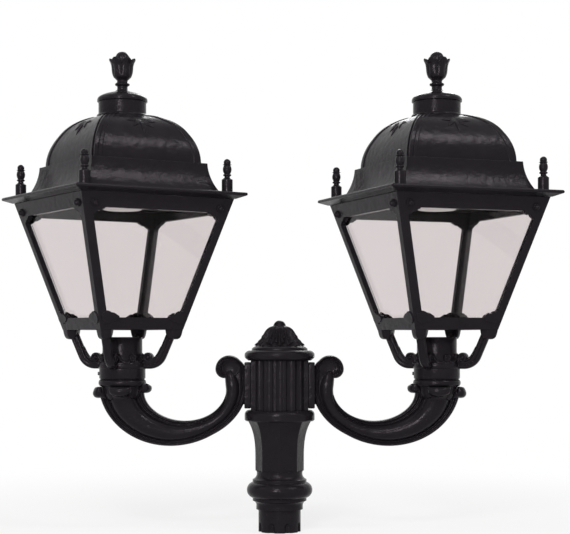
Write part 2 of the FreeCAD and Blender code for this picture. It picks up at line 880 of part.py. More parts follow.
def collar_screw(extra=0.0):
    tip = spigot_radius + turn_clearance + screw_tip_gap - extra
    length = yoke_collar_radius + collar_screw_proud + extra - tip
    return Part.makeCylinder(collar_screw_radius + extra, length,
                             V(tip, 0, yoke_level + yoke_collar_height / 2), V(1, 0, 0))


def collar_screws():
    return Part.makeCompound([turn(collar_screw(), a) for a in collar_screw_angles])


def foot_screws():
    low = frame_level - foot_height
    screw = rod(foot_screw_head_radius, low, low + foot_screw_head_height, screw_circle())
    screw = screw.fuse(rod(foot_screw_radius, low, frame_level + gusset_thickness, screw_circle()))
    return Part.makeCompound(ring_of(screw, 4, 45.0))


def bracket_lobes(z, radius):
    # Places and radii of the lobes of one bracket, along the window's edge at height z.
    corner = frame_half(z) - bar_width
    step = radius + bracket_lobe_gap
    return ((corner, radius), (corner - step, bracket_lobe_radius),
            (corner - step - bracket_lobe_radius, bracket_lobe_radius / 2))


def window(z0, z1):
    # Prism through two opposite walls: a trapezium less the lobed brackets in its corners.
    low = frame_half(z0) - bar_width
    high = frame_half(z1) - bar_width
    reach = eave_half
    face = outline((-low, z0), (low, z0), (high, z1), (-high, z1))
    face.translate(V(0, -reach, 0))
    discs = []
    for z, radius in ((z0, lower_bracket_radius), (z1, bracket_radius)):
        for x, r in bracket_lobes(z, radius):
            discs += [Part.makeCylinder(r, 2 * reach, V(side * x, -reach, z), V(0, 1, 0)) for side in (-1, 1)]
    return face.extrude(V(0, 2 * reach, 0)).cut(joined(discs))


def face_disc(radius, x, z, start, end):
    # A disc square to the sloping front wall, between two heights over its surface.
    normal = V(0, -1, -slant).normalize()
    return Part.makeCylinder(radius, end - start, V(x, -frame_half(z), z) + normal * start, normal)


def buttons(z1):
    # A dished round button with a knob, over each upper bracket of the four walls.
    z = z1 + button_rise
    x = frame_half(z1) - bar_width - button_inset
    root = -frame_wall / 2
    dish = button_height - button_dish
    made = []
    for side in (-1, 1):
        stud = face_disc(button_radius, side * x, z, root, button_height)
        hollow = face_disc(button_radius - button_rim, side * x, z, dish, button_height)
        knob = face_disc(button_radius - 2 * button_rim, side * x, z, root, button_height)
        made += ring_of(joined([stud.cut(hollow), knob]), 4)
    return made


def corner_plates(z0):
    # Lobed plates that stand proud over the lower corners of the four walls.
    made = []
    for side in (-1, 1):
        lobes = [face_disc(r + corner_plate_edge, side * x, z0, -frame_wall / 2, corner_plate_proud)
                 for x, r in bracket_lobes(z0, lower_bracket_radius)]
        made += ring_of(joined(lobes), 4)
    return made


def lantern_frame():
    outer = tapered(frame_bottom_half, frame_level, frame_half(rim_level), rim_level, frame_edge_round)
    low = frame_level - past
    high = rim_level + past
    inner = tapered(frame_half(low) - frame_wall, low, frame_half(high) - frame_wall, high, diffuser_corner)
    seat = flange_half + flange_clearance
    rebate = tapered(seat, frame_top, seat, high, diffuser_corner + flange_clearance)
    walls = outer.cut(inner).cut(rebate)
    z0 = frame_level + bottom_rail
    z1 = frame_top - top_rail
    opening = window(z0, z1)
    walls = walls.cut(opening).cut(turn(opening, 90))
    edge = frame_bottom_half - frame_wall / 2
    corner = Part.Face(Part.makePolygon([V(edge, edge, 0), V(edge - gusset_leg, edge, 0),
                                         V(edge, edge - gusset_leg, 0), V(edge, edge, 0)]))
    corner.translate(V(0, 0, frame_level))
    gussets = ring_of(corner.extrude(V(0, 0, gusset_thickness)), 4)
    lug_top = hinge_level + hinge_lug_rise
    inside = frame_half(frame_top - hinge_radius) - hinge_root
    knuckles = []
    for x in (-hinge_spread, hinge_spread):
        half = knuckle_length / 2
        knuckles.append(box(x - half, x + half, inside, hinge_half, hinge_level - hinge_radius, lug_top))
        knuckles.append(Part.makeCylinder(hinge_radius, knuckle_length, V(x - half, hinge_half, hinge_level),
                                          V(1, 0, 0)))
    lug = box(inside, hinge_half + catch_head_radius, -catch_along - lug_width / 2,
              -catch_along + lug_width / 2, rim_level - lug_thickness, rim_level)
    frame = joined([walls] + gussets + buttons(z1) + corner_plates(z0) + knuckles + [lug])
    frame = frame.cut(rebate)
    cuts = ring_of(rod(foot_screw_radius + tight_clearance, frame_level - past,
                       frame_level + gusset_thickness + past, screw_circle()), 4, 45.0)
    for x in (-hinge_spread, hinge_spread):
        cuts.append(Part.makeCylinder(pin_radius + tight_clearance, knuckle_length + 2 * past,
                                      V(x - knuckle_length / 2 - past, hinge_half, hinge_level), V(1, 0, 0)))
    cuts.append(rod(catch_radius + catch_lug_clearance, rim_level - lug_thickness - past, rim_level + past,
                    hinge_half, -catch_along))
    return frame.cut(Part.makeCompound(cuts))


def diffuser():
    # A clear tapered bowl hung by its flange, with a moulding nub under its floor.
    floor = frame_level + gusset_thickness + diffuser_gap
    inset = frame_wall + diffuser_gap
    outer = tapered(frame_half(floor) - inset, floor, frame_half(flange_level) - inset, flange_level,
                    diffuser_corner)
    low = floor + diffuser_wall
    high = rim_level + past
    inner = tapered(frame_half(low) - inset - diffuser_wall, low, frame_half(high) - inset - diffuser_wall,
                    high, diffuser_corner - diffuser_wall)
    flange = tapered(flange_half, flange_level, flange_half, rim_level, diffuser_corner)
    nub = rod(nub_radius, floor - nub_height, low)
    return joined([outer, flange, nub]).cut(inner)


def gasket():
    inner_half = frame_top_half - frame_wall
    outer = tapered(flange_half, gasket_level, flange_half, flange_level, diffuser_corner)
    return outer.cut(tapered(inner_half, gasket_level - past, inner_half, flange_level + past, diffuser_corner))


def hinge_pins():
    length = 2 * knuckle_length + 2 * knuckle_gap
    return Part.makeCompound([Part.makeCylinder(pin_radius, length, V(x - length / 2, hinge_half, hinge_level),
                                                V(1, 0, 0)) for x in (-hinge_spread, hinge_spread)])


def catch_screw():
    low = rim_level - lug_thickness
    head = rod(catch_head_radius, low - catch_head_height, low, hinge_half, -catch_along)
    tip = roof_level + catch_depth - catch_end_gap
    return head.fuse(rod(catch_radius, low - catch_head_height, tip, hinge_half, -catch_along))


# Roof, in the same lantern frame

def roof_skirt():
    # Bevelled eave and coved skirt, open below and above, with the roof's hinge knuckles.
    waist = ((skirt_base_half + skirt_top_half) / 2 - skirt_cove, (eave_top + dome_level) / 2)
    outer = square_form(
        (0, roof_level), (eave_half - eave_bevel, roof_level), (eave_half, eave_top - eave_tip),
        ((eave_half + eave_round, eave_top - eave_tip / 2), (eave_half - eave_round, eave_top)),
        (skirt_base_half, eave_top), (waist, (skirt_top_half, dome_level)), (0, dome_level))
    inner = square_form(
        (0, eave_top), (skirt_base_half - roof_wall, eave_top),
        ((waist[0] - roof_wall, waist[1]), (skirt_top_half - roof_wall, dome_level - roof_wall)),
        (0, dome_level - roof_wall))
    opening = box(-eave_opening, eave_opening, -eave_opening, eave_opening, roof_level - past, eave_top + past)
    shelf = dome_base_half - roof_shelf
    above = box(-shelf, shelf, -shelf, shelf, dome_level - roof_wall - past, dome_level + past)
    skirt = outer.cut(Part.makeCompound([inner, opening, above]))
    outside = []
    for x in (-hinge_spread, hinge_spread):
        for side in (-1, 1):
            start = x + side * (knuckle_length / 2 + knuckle_gap)
            x0, x1 = sorted((start, start + side * knuckle_length / 2))
            outside.append(box(x0, x1, hinge_half - hinge_radius, hinge_half + hinge_radius / 2, hinge_level,
                               roof_level + past))
            outside.append(Part.makeCylinder(hinge_radius, x1 - x0, V(x0, hinge_half, hinge_level), V(1, 0, 0)))
    skirt = joined([skirt] + outside)
    length = 2 * (knuckle_length + past)
    cuts = [Part.makeCylinder(pin_radius + pin_clearance, length, V(x - length / 2, hinge_half, hinge_level),
                              V(1, 0, 0)) for x in (-hinge_spread, hinge_spread)]
    cuts.append(rod(catch_radius + catch_clearance, roof_level - past, roof_level + catch_depth, hinge_half,
                    -catch_along))
    cuts += roof_screw_set(tight_clearance)
    return skirt.cut(Part.makeCompound(cuts))


def dome_profile(offset, low):
    # Half outline of the dome, moved in by an offset.
    side = (dome_base_half - dome_side_in - 0.97 * offset, dome_level + dome_side_height - 0.25 * offset)
    shoulder = (dome_base_half - dome_shoulder_in - 0.8 * offset,
                dome_level + dome_shoulder_height - 0.6 * offset)
    crest = (dome_crown_half - 0.45 * offset, neck_level - dome_crown_drop - 0.9 * offset)
    return ((0, low), (dome_base_half - offset, low), (dome_base_half - offset, dome_level + past),
            (side, shoulder), (crest, (dome_top_half, neck_level - offset)), (0, neck_level - offset))


def roof_dome():
    # Square vault with ribs beside its four ridges, and a round neck with a ring.
    vault = square_form(*dome_profile(0.0, dome_level))
    proud = square_form(*dome_profile(-rib_height, dome_level))
    ribs = []
    reach = 2 * dome_base_half
    for side in (-1, 1):
        y0, y1 = sorted((side * rib_inner, side * rib_outer))
        slab = box(-reach, reach, y0, y1, dome_level, neck_level)
        ribs += [turn(slab, 45).common(proud), turn(slab, 135).common(proud)]
    ring_low = neck_level - neck_ring_height / 2
    ring_high = neck_level + neck_ring_height / 2
    neck = turned(outline(
        (0, neck_level - neck_root), (neck_radius, neck_level - neck_root), (neck_radius, ring_low),
        ((neck_ring_radius, neck_level), (neck_radius, ring_high)), (neck_radius, vent_level),
        (0, vent_level)))
    hollow = square_form(*dome_profile(roof_wall, dome_level - past))
    flue = rod(neck_radius - roof_wall, neck_level - flue_drop, vent_level + past)
    rim = dome_base_half - dome_flange
    edge = dome_base_half - roof_wall / 4
    floor = box(-edge, edge, -edge, edge, dome_level, dome_level + roof_wall)
    floor = floor.cut(box(-rim, rim, -rim, rim, dome_level - past, dome_level + roof_wall + past))
    dome = joined([vault, neck] + ribs).cut(Part.makeCompound([hollow, flue]))
    dome = joined([dome, floor])
    return dome.cut(Part.makeCompound(roof_screw_set(roof_screw_clearance)))


def roof_screw_set(extra=0.0):
    # Shanks from under the skirt's shelf up through the dome's flange.
    low = dome_level - roof_wall - extra
    screw = rod(roof_screw_radius + extra, low, low + roof_screw_length, dome_base_half - roof_screw_inset,
                roof_screw_along)
    return ring_of(screw, 4)


def roof_screws():
    low = dome_level - roof_wall
    head = rod(roof_screw_head_radius, low - roof_screw_head_height, low, dome_base_half - roof_screw_inset,
               roof_screw_along)
    return Part.makeCompound([s.fuse(h) for s, h in zip(roof_screw_set(), ring_of(head, 4))])


def vent_cap():
    # Low lid over the neck, with a rolled rim and a plug that locates in the flue.
    plug = neck_radius - roof_wall - vent_plug_clearance
    low = vent_level - vent_plug_depth
    shoulder = vent_level + vent_rim
    return turned(outline(
        (0, low), (plug, low), (plug, vent_level), (vent_radius - vent_round, vent_level),
        ((vent_radius, (vent_level + shoulder) / 2), (vent_radius - vent_round, shoulder)),
        ((vent_crown_radius, tulip_base - vent_crown_drop), (tulip_foot_radius, tulip_base)),
        (0, tulip_base)))


def top_finial():
    # Turned stem with a bead, and a tulip with creased petals, a flared lip and a round bud.
    bead = tulip_base + tulip_bead_level
    bead_half = tulip_bead_height / 2
    cup = tulip_base + tulip_cup_level
    waist = tulip_base + tulip_waist_level
    rim = tulip_base + tulip_rim_level
    flare = ((tulip_waist_radius + tulip_rim_radius) / 2 - tulip_flare, (waist + rim) / 2)
    body = turned(outline(
        (0, tulip_base), (tulip_foot_radius, tulip_base),
        (tulip_stem_radius, tulip_base + tulip_foot_height), (tulip_stem_radius, bead - bead_half),
        ((tulip_bead_radius, bead), (tulip_stem_radius, bead + bead_half)), (tulip_stem_radius, cup),
        ((tulip_belly_radius, tulip_base + tulip_belly_level), (tulip_waist_radius, waist)),
        (flare, (tulip_rim_radius, rim)), (tulip_bud_radius, rim - tulip_rim_edge),
        crown(tulip_bud_radius, rim - tulip_rim_edge, tulip_base + tulip_height)))
    low = V(tulip_waist_radius + tulip_crease / 2, 0, tulip_base + tulip_belly_level)
    high = V(tulip_rim_radius + tulip_crease / 2, 0, rim)
    crease = Part.makeCylinder(tulip_crease, (high - low).Length + tulip_crease, low, high - low)
    notch = Part.makeSphere(tulip_notch, high + V(0, 0, tulip_notch / 2))
    for cut in ring_of(crease, tulip_petals) + ring_of(notch, tulip_petals):
        body = body.cut(cut)
    return body


def corner_finials():
    # Turned finials on the eave's corners: plinth, neck, bead, vase with a lip, and a knob.
    plinth = eave_top + finial_base_height
    neck = plinth + finial_shoulder_height
    bead_low = neck + finial_neck_height
    bead_high = bead_low + finial_bead_height
    vase_high = bead_high + finial_vase_height
    lip_high = vase_high + finial_lip_height
    top = eave_top + finial_height
    finial = turned(outline(
        (0, eave_top), (finial_base_radius, eave_top), (finial_base_radius, plinth),
        (finial_neck_radius, neck), (finial_neck_radius, bead_low),
        ((finial_bead_radius, (bead_low + bead_high) / 2), (finial_neck_radius, bead_high)),
        ((finial_vase_radius, bead_high + finial_vase_height / 2), (finial_knob_radius, vase_high)),
        (finial_lip_radius, vase_high + finial_lip_height / 2), (finial_knob_radius, lip_high),
        crown(finial_knob_radius, lip_high, top)))
    finial.translate(V(finial_half, finial_half, 0))
    return Part.makeCompound(ring_of(finial, 4))


def reflector():
    half = skirt_base_half - roof_wall - reflector_clearance
    return box(-half, half, -half, half, eave_top, eave_top + reflector_thickness)


def lamp_holder():
    low = eave_top - holder_height
    return turned(outline(
        (0, low), (holder_radius - holder_chamfer, low), (holder_radius, low + holder_chamfer),
        (holder_radius, eave_top),
        (0, eave_top)))


def lamp_disc():
    high = eave_top - holder_height
    low = high - lamp_height
    return turned(outline(
        (0, low), (lamp_radius - lamp_round, low),
        ((lamp_radius - lamp_round * (1 - math.sqrt(0.5)), low + lamp_round * (1 - math.sqrt(0.5))),
         (lamp_radius, low + lamp_round)),
        (lamp_radius, high), (0, high)))


def driver_box():
    length, depth, height = driver_size
    low = eave_top + reflector_thickness
    body = box(-length / 2, length / 2, driver_offset - depth / 2, driver_offset + depth / 2, low, low + height)
    return body.makeFillet(driver_round, [e for e in body.Edges if abs(e.tangentAt(0).z) > 0.9])


os.makedirs("parts", exist_ok=True)

column = {
    "column_stub": column_stub(), "pole_set_screws": pole_screws(), "knuckle_collar": knuckle_collar(),
    "bell_sleeve": bell_sleeve(), "seat_ring": seat_ring(), "fluted_drum": fluted_drum(),
    "hub_cap": hub_cap(), "tie_rod": tie_rod(), "tie_nut": tie_nut(), "junction_block": junction_block(),
}
for name, shape in column.items():
    save(shape, name)

lantern = {
    "yoke": yoke(), "collar_screws": collar_screws(), "foot_screws": foot_screws(),
    "lantern_frame": lantern_frame(), "diffuser": diffuser(), "diffuser_gasket": gasket(),
    "hinge_pins": hinge_pins(), "catch_screw": catch_screw(),
    "roof_skirt": roof_skirt(), "roof_dome": roof_dome(), "roof_screws": roof_screws(),
    "vent_cap": vent_cap(), "top_finial": top_finial(), "corner_finials": corner_finials(),
    "reflector": reflector(), "lamp_holder": lamp_holder(), "lamp_disc": lamp_disc(),
    "driver_box": driver_box(),
}
for side, sign in (("left", -1), ("right", 1)):
    save(scroll_arm(sign), "arm_" + side)
    save(arm_bolts(sign), "arm_bolts_" + side)
    save(spigot(sign), "spigot_" + side)
    for name, shape in lantern.items():
        placed = turn(shape, lantern_yaw[side])
        placed.translate(V(sign * arm_reach, 0, 0))
        save(placed, name + "_" + side)
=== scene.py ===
import json
import math
import bmesh
import bpy
import numpy as np
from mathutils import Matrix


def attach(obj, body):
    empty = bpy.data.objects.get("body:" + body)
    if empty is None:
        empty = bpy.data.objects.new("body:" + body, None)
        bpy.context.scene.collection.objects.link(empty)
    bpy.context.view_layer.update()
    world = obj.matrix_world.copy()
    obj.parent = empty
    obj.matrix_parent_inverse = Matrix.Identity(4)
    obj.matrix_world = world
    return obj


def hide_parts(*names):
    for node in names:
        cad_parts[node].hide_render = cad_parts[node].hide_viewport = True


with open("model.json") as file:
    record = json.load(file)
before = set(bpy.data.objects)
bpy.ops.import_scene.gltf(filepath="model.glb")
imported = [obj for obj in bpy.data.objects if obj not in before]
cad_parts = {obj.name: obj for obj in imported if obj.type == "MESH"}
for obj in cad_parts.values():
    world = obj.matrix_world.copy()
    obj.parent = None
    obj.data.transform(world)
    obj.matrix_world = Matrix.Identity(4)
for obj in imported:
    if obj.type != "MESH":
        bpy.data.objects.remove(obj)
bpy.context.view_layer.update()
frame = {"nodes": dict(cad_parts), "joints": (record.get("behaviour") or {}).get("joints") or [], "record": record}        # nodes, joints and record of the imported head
joints = {joint["name"]: joint for joint in frame["joints"]}
mm = 0.001
weldGap = 2e-5           # metres
sides = {"left": -1, "right": 1}
quarterTurns = (0, 90, 180, 270)      # degrees
print("frame loaded:", len(frame["nodes"]), "nodes")


# Mesh helpers: a shape is a grid of points, in millimetres until it is placed, whose columns close

def gridFaces(rows, cols, rowsClose):
    # quads between neighbouring rows and columns; the rows close on themselves only where asked
    i, j = np.meshgrid(np.arange(rows if rowsClose else rows - 1), np.arange(cols), indexing="ij")
    k, l = (i + 1) % rows, (j + 1) % cols
    return np.stack([i * cols + j, k * cols + j, k * cols + l, i * cols + l], -1).reshape(-1, 4)


def buildPiece(name, body, grids, rings=(), sharp=38.0, slot="cast_black"):
    # one mesh from grids, and from rings, whose rows close too; poles and seams weld, normals turn outwards
    verts, faces, base = [], [], 0
    for points, rowsClose in [(ring, True) for ring in rings] + [(grid, False) for grid in grids]:
        rows, cols = points.shape[:2]
        verts.append(points.reshape(-1, 3))
        faces.append(gridFaces(rows, cols, rowsClose) + base)
        base += rows * cols
    mesh = bpy.data.meshes.new(name)
    mesh.from_pydata(np.concatenate(verts).tolist(), [], np.concatenate(faces).tolist())
    work = bmesh.new()
    work.from_mesh(mesh)
    bmesh.ops.remove_doubles(work, verts=work.verts, dist=weldGap)
    bmesh.ops.dissolve_degenerate(work, edges=work.edges, dist=weldGap / 2)
    bmesh.ops.recalc_face_normals(work, faces=work.faces)
    work.to_mesh(mesh)
    work.free()
    mesh.shade_smooth()
    mesh.set_sharp_from_angle(angle=math.radians(sharp))
    mesh.materials.append(finishes[slot])
    piece = bpy.data.objects.new(name, mesh)
    bpy.context.scene.collection.objects.link(piece)
    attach(piece, body)
    return piece


def smoothStep(x, low, high):
    # cubic ease from zero at low to one at high
    t = np.clip((x - low) / (high - low), 0.0, 1.0)
    return t * t * (3 - 2 * t)


def unit(vectors):
    # each vector brought to length one
    return vectors / np.linalg.norm(vectors, axis=-1, keepdims=True)


def aroundCircle(count):
    # even angles over a full turn, the last left out because it is the first again
    return np.linspace(0, 2 * math.pi, count, endpoint=False)


def curveThrough(points, count):
    # Catmull-Rom curve through the points, sampled evenly by number
    p = np.asarray(points, float)
    p = np.vstack([2 * p[0] - p[1], p, 2 * p[-1] - p[-2]])
    t = np.linspace(0, len(p) - 3 - 1e-9, count)
    k = t.astype(int)
    f = (t - k)[:, None]
    a, b, c, d = p[k], p[k + 1], p[k + 2], p[k + 3]
    return 0.5 * (2 * b + (c - a) * f + (2 * a - 5 * b + 4 * c - d) * f ** 2
                  + (3 * b - a - 3 * c + d) * f ** 3)


def closedCurve(points, count):
    # the same curve run on to its first point
    return curveThrough([*points, points[0]], count + 1)[:-1]


def mirrored(half):
    # a half outline, and back along its mirror image
    return np.concatenate([half, half[::-1] * (1, -1)])


def softSquare(power, count):
    # closed section between a circle (power 1) and a square (power 0): signed powers of cosine and sine
    angle = aroundCircle(count)
    c, s = np.cos(angle), np.sin(angle)
    return np.sign(c) * np.abs(c) ** power, np.sign(s) * np.abs(s) ** power


def spun(radius, height, theta):
    # surface of revolution: radius and height columns turned through theta
    x = radius * np.cos(theta)
    return np.stack([x, radius * np.sin(theta), np.broadcast_to(height, x.shape)], -1)


def swept(centre, normal, across, thick):
    # a closed section (across, thick) carried along a path in the XZ plane
    xz = centre[:, None, :] + normal[:, None, :] * across[..., None]
    return np.stack([xz[..., 0], np.broadcast_to(thick, across.shape), xz[..., 1]], -1)


def turnedBy(points, degrees):
    # a turn about the vertical axis
    c, s = math.cos(math.radians(degrees)), math.sin(math.radians(degrees))
    x, y = points[..., 0], points[..., 1]
    return np.stack([c * x - s * y, s * x + c * y, points[..., 2]], -1)


def lanternYaw(side):
    # how far a lantern is turned, read from its hinge
    axis = joints[side + "_roof_hinge"]["axis"]
    return math.atan2(-axis[1], -axis[0])


def placed(points, side):
    # from a lantern's own frame in millimetres to the head's in metres: turned by its yaw, moved to its axis
    at = joints[side + "_lantern_turn"]["pos_m"]
    return turnedBy(points * mm, math.degrees(lanternYaw(side))) + (at[0], at[1], 0)


# Node helpers

def newGroup(name, inputs, outputs):
    # shader node group with number inputs, and outputs of the kinds named
    group = bpy.data.node_groups.new(name, "ShaderNodeTree")
    for label in inputs:
        group.interface.new_socket(label, in_out="INPUT", socket_type="NodeSocketFloat")
    for label, kind in outputs.items():
        group.interface.new_socket(label, in_out="OUTPUT", socket_type="NodeSocket" + kind)
    start = group.nodes.new("NodeGroupInput")
    end = group.nodes.new("NodeGroupOutput")
    return group, start.outputs, end.inputs


def addNode(tree, kind, links=None, **settings):
    # a node with its settings, and its inputs set or linked by name
    node = tree.nodes.new("ShaderNode" + kind)
    for key, value in settings.items():
        setattr(node, key, value)
    for key, value in (links or {}).items():
        if isinstance(value, bpy.types.NodeSocket):
            tree.links.new(value, node.inputs[key])
        else:
            node.inputs[key].default_value = value
    return node


def groupNode(tree, group, **values):
    # a group placed in a material, with that material's own values
    node = addNode(tree, "Group", node_tree=group)
    for key, value in values.items():
        node.inputs[key].default_value = value
    return node.outputs


def objectPoint(tree):
    # the point in the piece's own space
    return addNode(tree, "TexCoord").outputs["Object"]


def noise(tree, at, scale, detail, rough=0.5):
    # smooth random value between zero and one
    return addNode(tree, "TexNoise", {"Vector": at, "Scale": scale, "Detail": detail,
                                      "Roughness": rough}).outputs["Fac"]


def ranged(tree, value, given=(0.0, 1.0), wanted=(0.0, 1.0), **settings):
    # a value carried from one range to another
    return addNode(tree, "MapRange", {"Value": value, "From Min": given[0], "From Max": given[1],
                                      "To Min": wanted[0], "To Max": wanted[1]}, **settings).outputs["Result"]


def combined(tree, operation, first, second):
    # two values through one operation
    return addNode(tree, "Math", {0: first, 1: second}, operation=operation).outputs["Value"]


def mixColour(tree, mask, low, high):
    # low where the mask is zero, high where it is one; each a colour or another node's output
    node = addNode(tree, "Mix", {"Factor": mask}, data_type="RGBA")
    for socket, value in ((node.inputs[6], low), (node.inputs[7], high)):
        if isinstance(value, bpy.types.NodeSocket):
            tree.links.new(value, socket)
        else:
            socket.default_value = (*value, 1.0)
    return node.outputs[2]


def blankMaterial(name):
    # a material with only a shader and its output
    material = bpy.data.materials.new(name)
    material.use_nodes = True
    tree = material.node_tree
    tree.nodes.clear()
    shader = addNode(tree, "BsdfPrincipled")
    addNode(tree, "OutputMaterial", {"Surface": shader.outputs["BSDF"]})
    return material, tree, shader.inputs


# Black cast paint: sand grain, paler edges that are partly rubbed paint and partly a painted highlight, and a
# little dust

castLook = {
    "paint": (0.0082, 0.0069, 0.0086), "patch": (0.0142, 0.0121, 0.0147),
    # edge: paler tone on sharp edges, partly rubbed paint and partly a painted highlight on the ridges
    "edge": (0.038, 0.034, 0.037), "dust": (0.076, 0.069, 0.066),
    "sheen": (1.0, 0.90, 0.98), "specular": 0.075, "rough": (0.17, 0.27),
    "cloud": (34.0, 6.0, 0.62),                       # patches of paint: scale, detail, roughness
    "cloudRange": (0.3, 0.7),
    "fine": (3.0, 0.6), "coarse": (85.0, 3.0),        # grain: detail, roughness; scale, detail
    "grain": {"Scale": 480.0, "Swell": 4.5, "Pits": 0.45},
    "pitScale": 105.0, "pitEdge": (0.04, 0.17), "specks": (0.56, 0.74),
    "bump": 0.20, "bumpDepth": 0.0009,
    # bevel radius for the rounded edge normal and for the edge mask of wear and painted highlight
    "wearAndHighlight": {"Radius": 0.0014}, "wearAndHighlightRange": (0.995, 0.8), "bevelSamples": 6,
    "film": {"Amount": 0.12}, "filmTilt": (0.35, 1.0),   # dust, and the tilt where it starts and is full
    "filmPatch": (38.0, 5.0), "filmRange": (0.35, 0.75),
}


def castGrainGroup():
    # sand-cast grain: fine noise on a slow swell, with sparse pits, as a height and a speck mask
    look = castLook
    group, given, out = newGroup("castGrain", look["grain"], {"Height": "Float", "Specks": "Float"})
    at = objectPoint(group)
    fine = noise(group, at, given["Scale"], *look["fine"])
    swell = combined(group, "MULTIPLY", noise(group, at, *look["coarse"]), given["Swell"])
    cells = addNode(group, "TexVoronoi", {"Vector": at, "Scale": look["pitScale"]}).outputs["Distance"]
    pits = combined(group, "MULTIPLY", ranged(group, cells, look["pitEdge"]), given["Pits"])
    height = combined(group, "ADD", combined(group, "ADD", fine, swell), pits)
    group.links.new(height, out["Height"])
    group.links.new(ranged(group, fine, look["specks"]), out["Specks"])
    return group


def edgeWearAndHighlightGroup():
    # rounded edge normal, and how far it leaves the true normal: one on a sharp edge, zero on a flat; the
    # mask makes edges paler, partly as rubbed paint and partly as a painted highlight
    group, given, out = newGroup("edgeWearAndHighlight", castLook["wearAndHighlight"], {"Edge": "Float", "Normal": "Vector"})
    bevel = addNode(group, "Bevel", {"Radius": given["Radius"]}, samples=castLook["bevelSamples"])
    true = addNode(group, "NewGeometry").outputs["Normal"]
    same = addNode(group, "VectorMath", {0: bevel.outputs["Normal"], 1: true}, operation="DOT_PRODUCT")
    group.links.new(ranged(group, same.outputs["Value"], castLook["wearAndHighlightRange"]), out["Edge"])
    group.links.new(bevel.outputs["Normal"], out["Normal"])
    return group


def dustGroup():
    # pale dust that settles on faces that look up, broken by noise
    look = castLook
    group, given, out = newGroup("dust", look["film"], {"Mask": "Float"})
    coords = addNode(group, "TexCoord").outputs
    up = addNode(group, "SeparateXYZ", {0: coords["Normal"]}).outputs["Z"]
    broken = ranged(group, noise(group, coords["Object"], *look["filmPatch"]), look["filmRange"])
    some = combined(group, "MULTIPLY", ranged(group, up, look["filmTilt"]), broken)
    group.links.new(combined(group, "MULTIPLY", some, given["Amount"]), out["Mask"])
    return group


def castBlack():
    # two tones of paint in patches, paler on sharp edges (partly rubbed paint, partly a painted highlight)
    # and where dust lies, over the grain
    look = castLook
    material, tree, shader = blankMaterial("castBlack")
    sand = groupNode(tree, castGrainGroup(), **look["grain"])
    wearAndHighlight = groupNode(tree, edgeWearAndHighlightGroup(), **look["wearAndHighlight"])
    film = groupNode(tree, dustGroup(), **look["film"])
    cloud = noise(tree, objectPoint(tree), *look["cloud"])
    paint = mixColour(tree, cloud, look["paint"], look["patch"])
    # sharp edges made paler: partly rubbed paint, partly a painted highlight
    rubbedAndHighlight = combined(tree, "MULTIPLY", wearAndHighlight["Edge"], sand["Specks"])
    wornAndHighlight = mixColour(tree, rubbedAndHighlight, paint, look["edge"])
    tree.links.new(mixColour(tree, film["Mask"], wornAndHighlight, look["dust"]), shader["Base Color"])
    tree.links.new(ranged(tree, cloud, look["cloudRange"], look["rough"]), shader["Roughness"])
    shader["Specular IOR Level"].default_value = look["specular"]
    shader["Specular Tint"].default_value = (*look["sheen"], 1.0)
    relief = addNode(tree, "Bump", {"Height": sand["Height"], "Strength": look["bump"],
                                    "Distance": look["bumpDepth"], "Normal": wearAndHighlight["Normal"]})
    tree.links.new(relief.outputs["Normal"], shader["Normal"])
    return material


# Clear diffuser

diffuserLook = {"tint": (0.828, 0.790, 0.790), "haze": (0.810, 0.772, 0.774), "ior": 1.14,
                "cloud": (9.0, 3.0), "rough": (0.0, 0.004)}


def clearDiffuser():
    # clear moulded diffuser, with a faint haze from one slow noise
    material, tree, shader = blankMaterial("clearDiffuser")
    cloud = noise(tree, objectPoint(tree), *diffuserLook["cloud"])
    tree.links.new(mixColour(tree, cloud, diffuserLook["tint"], diffuserLook["haze"]), shader["Base Color"])
    tree.links.new(ranged(tree, cloud, wanted=diffuserLook["rough"]), shader["Roughness"])
    shader["Transmission Weight"].default_value = 1.0
    shader["IOR"].default_value = diffuserLook["ior"]
    return material


# Finishes of the small hardware and the inner pieces, by the record's slots

plainLooks = {
    "gasket": {"name": "gasketFoam", "low": (0.03, 0.03, 0.03), "high": (0.055, 0.055, 0.055),
               "rough": (0.8, 0.95), "scale": 900.0, "bump": 0.4},
    "steel": {"name": "zincSteel", "low": (0.48, 0.48, 0.49), "high": (0.62, 0.62, 0.63),
              "rough": (0.28, 0.45), "metal": 1.0, "scale": 240.0, "stretch": (1, 1, 6)},
    "black_steel": {"name": "blackedSteel", "low": (0.022, 0.022, 0.024), "high": (0.05, 0.05, 0.052),
                    "rough": (0.35, 0.55), "metal": 0.6, "scale": 300.0},
    "white_sheet": {"name": "whiteSheet", "low": (0.74, 0.73, 0.74), "high": (0.82, 0.81, 0.82),
                    "rough": (0.4, 0.55), "scale": 40.0},
    "opal_lamp": {"name": "opalLamp", "low": (0.80, 0.80, 0.78), "high": (0.88, 0.88, 0.86),
                  "rough": (0.2, 0.3), "scale": 30.0},
    "pale_plastic": {"name": "palePlastic", "low": (0.62, 0.62, 0.59), "high": (0.72, 0.72, 0.69),
                     "rough": (0.45, 0.6), "scale": 150.0, "bump": 0.15},
}
plainDetail = 4.0
plainDepth = 0.0005


def plainFinish(name, low, high, rough, scale, metal=0.0, stretch=(1, 1, 1), bump=0.05):
    # two tones, a range of roughness and a slight relief, all from one noise
    material, tree, shader = blankMaterial(name)
    at = addNode(tree, "Mapping", {"Vector": objectPoint(tree), "Scale": stretch}).outputs["Vector"]
    cloud = noise(tree, at, scale, plainDetail)
    tree.links.new(mixColour(tree, cloud, low, high), shader["Base Color"])
    tree.links.new(ranged(tree, cloud, wanted=rough), shader["Roughness"])
    shader["Metallic"].default_value = metal
    relief = addNode(tree, "Bump", {"Height": cloud, "Strength": bump, "Distance": plainDepth})
    tree.links.new(relief.outputs["Normal"], shader["Normal"])
    return material


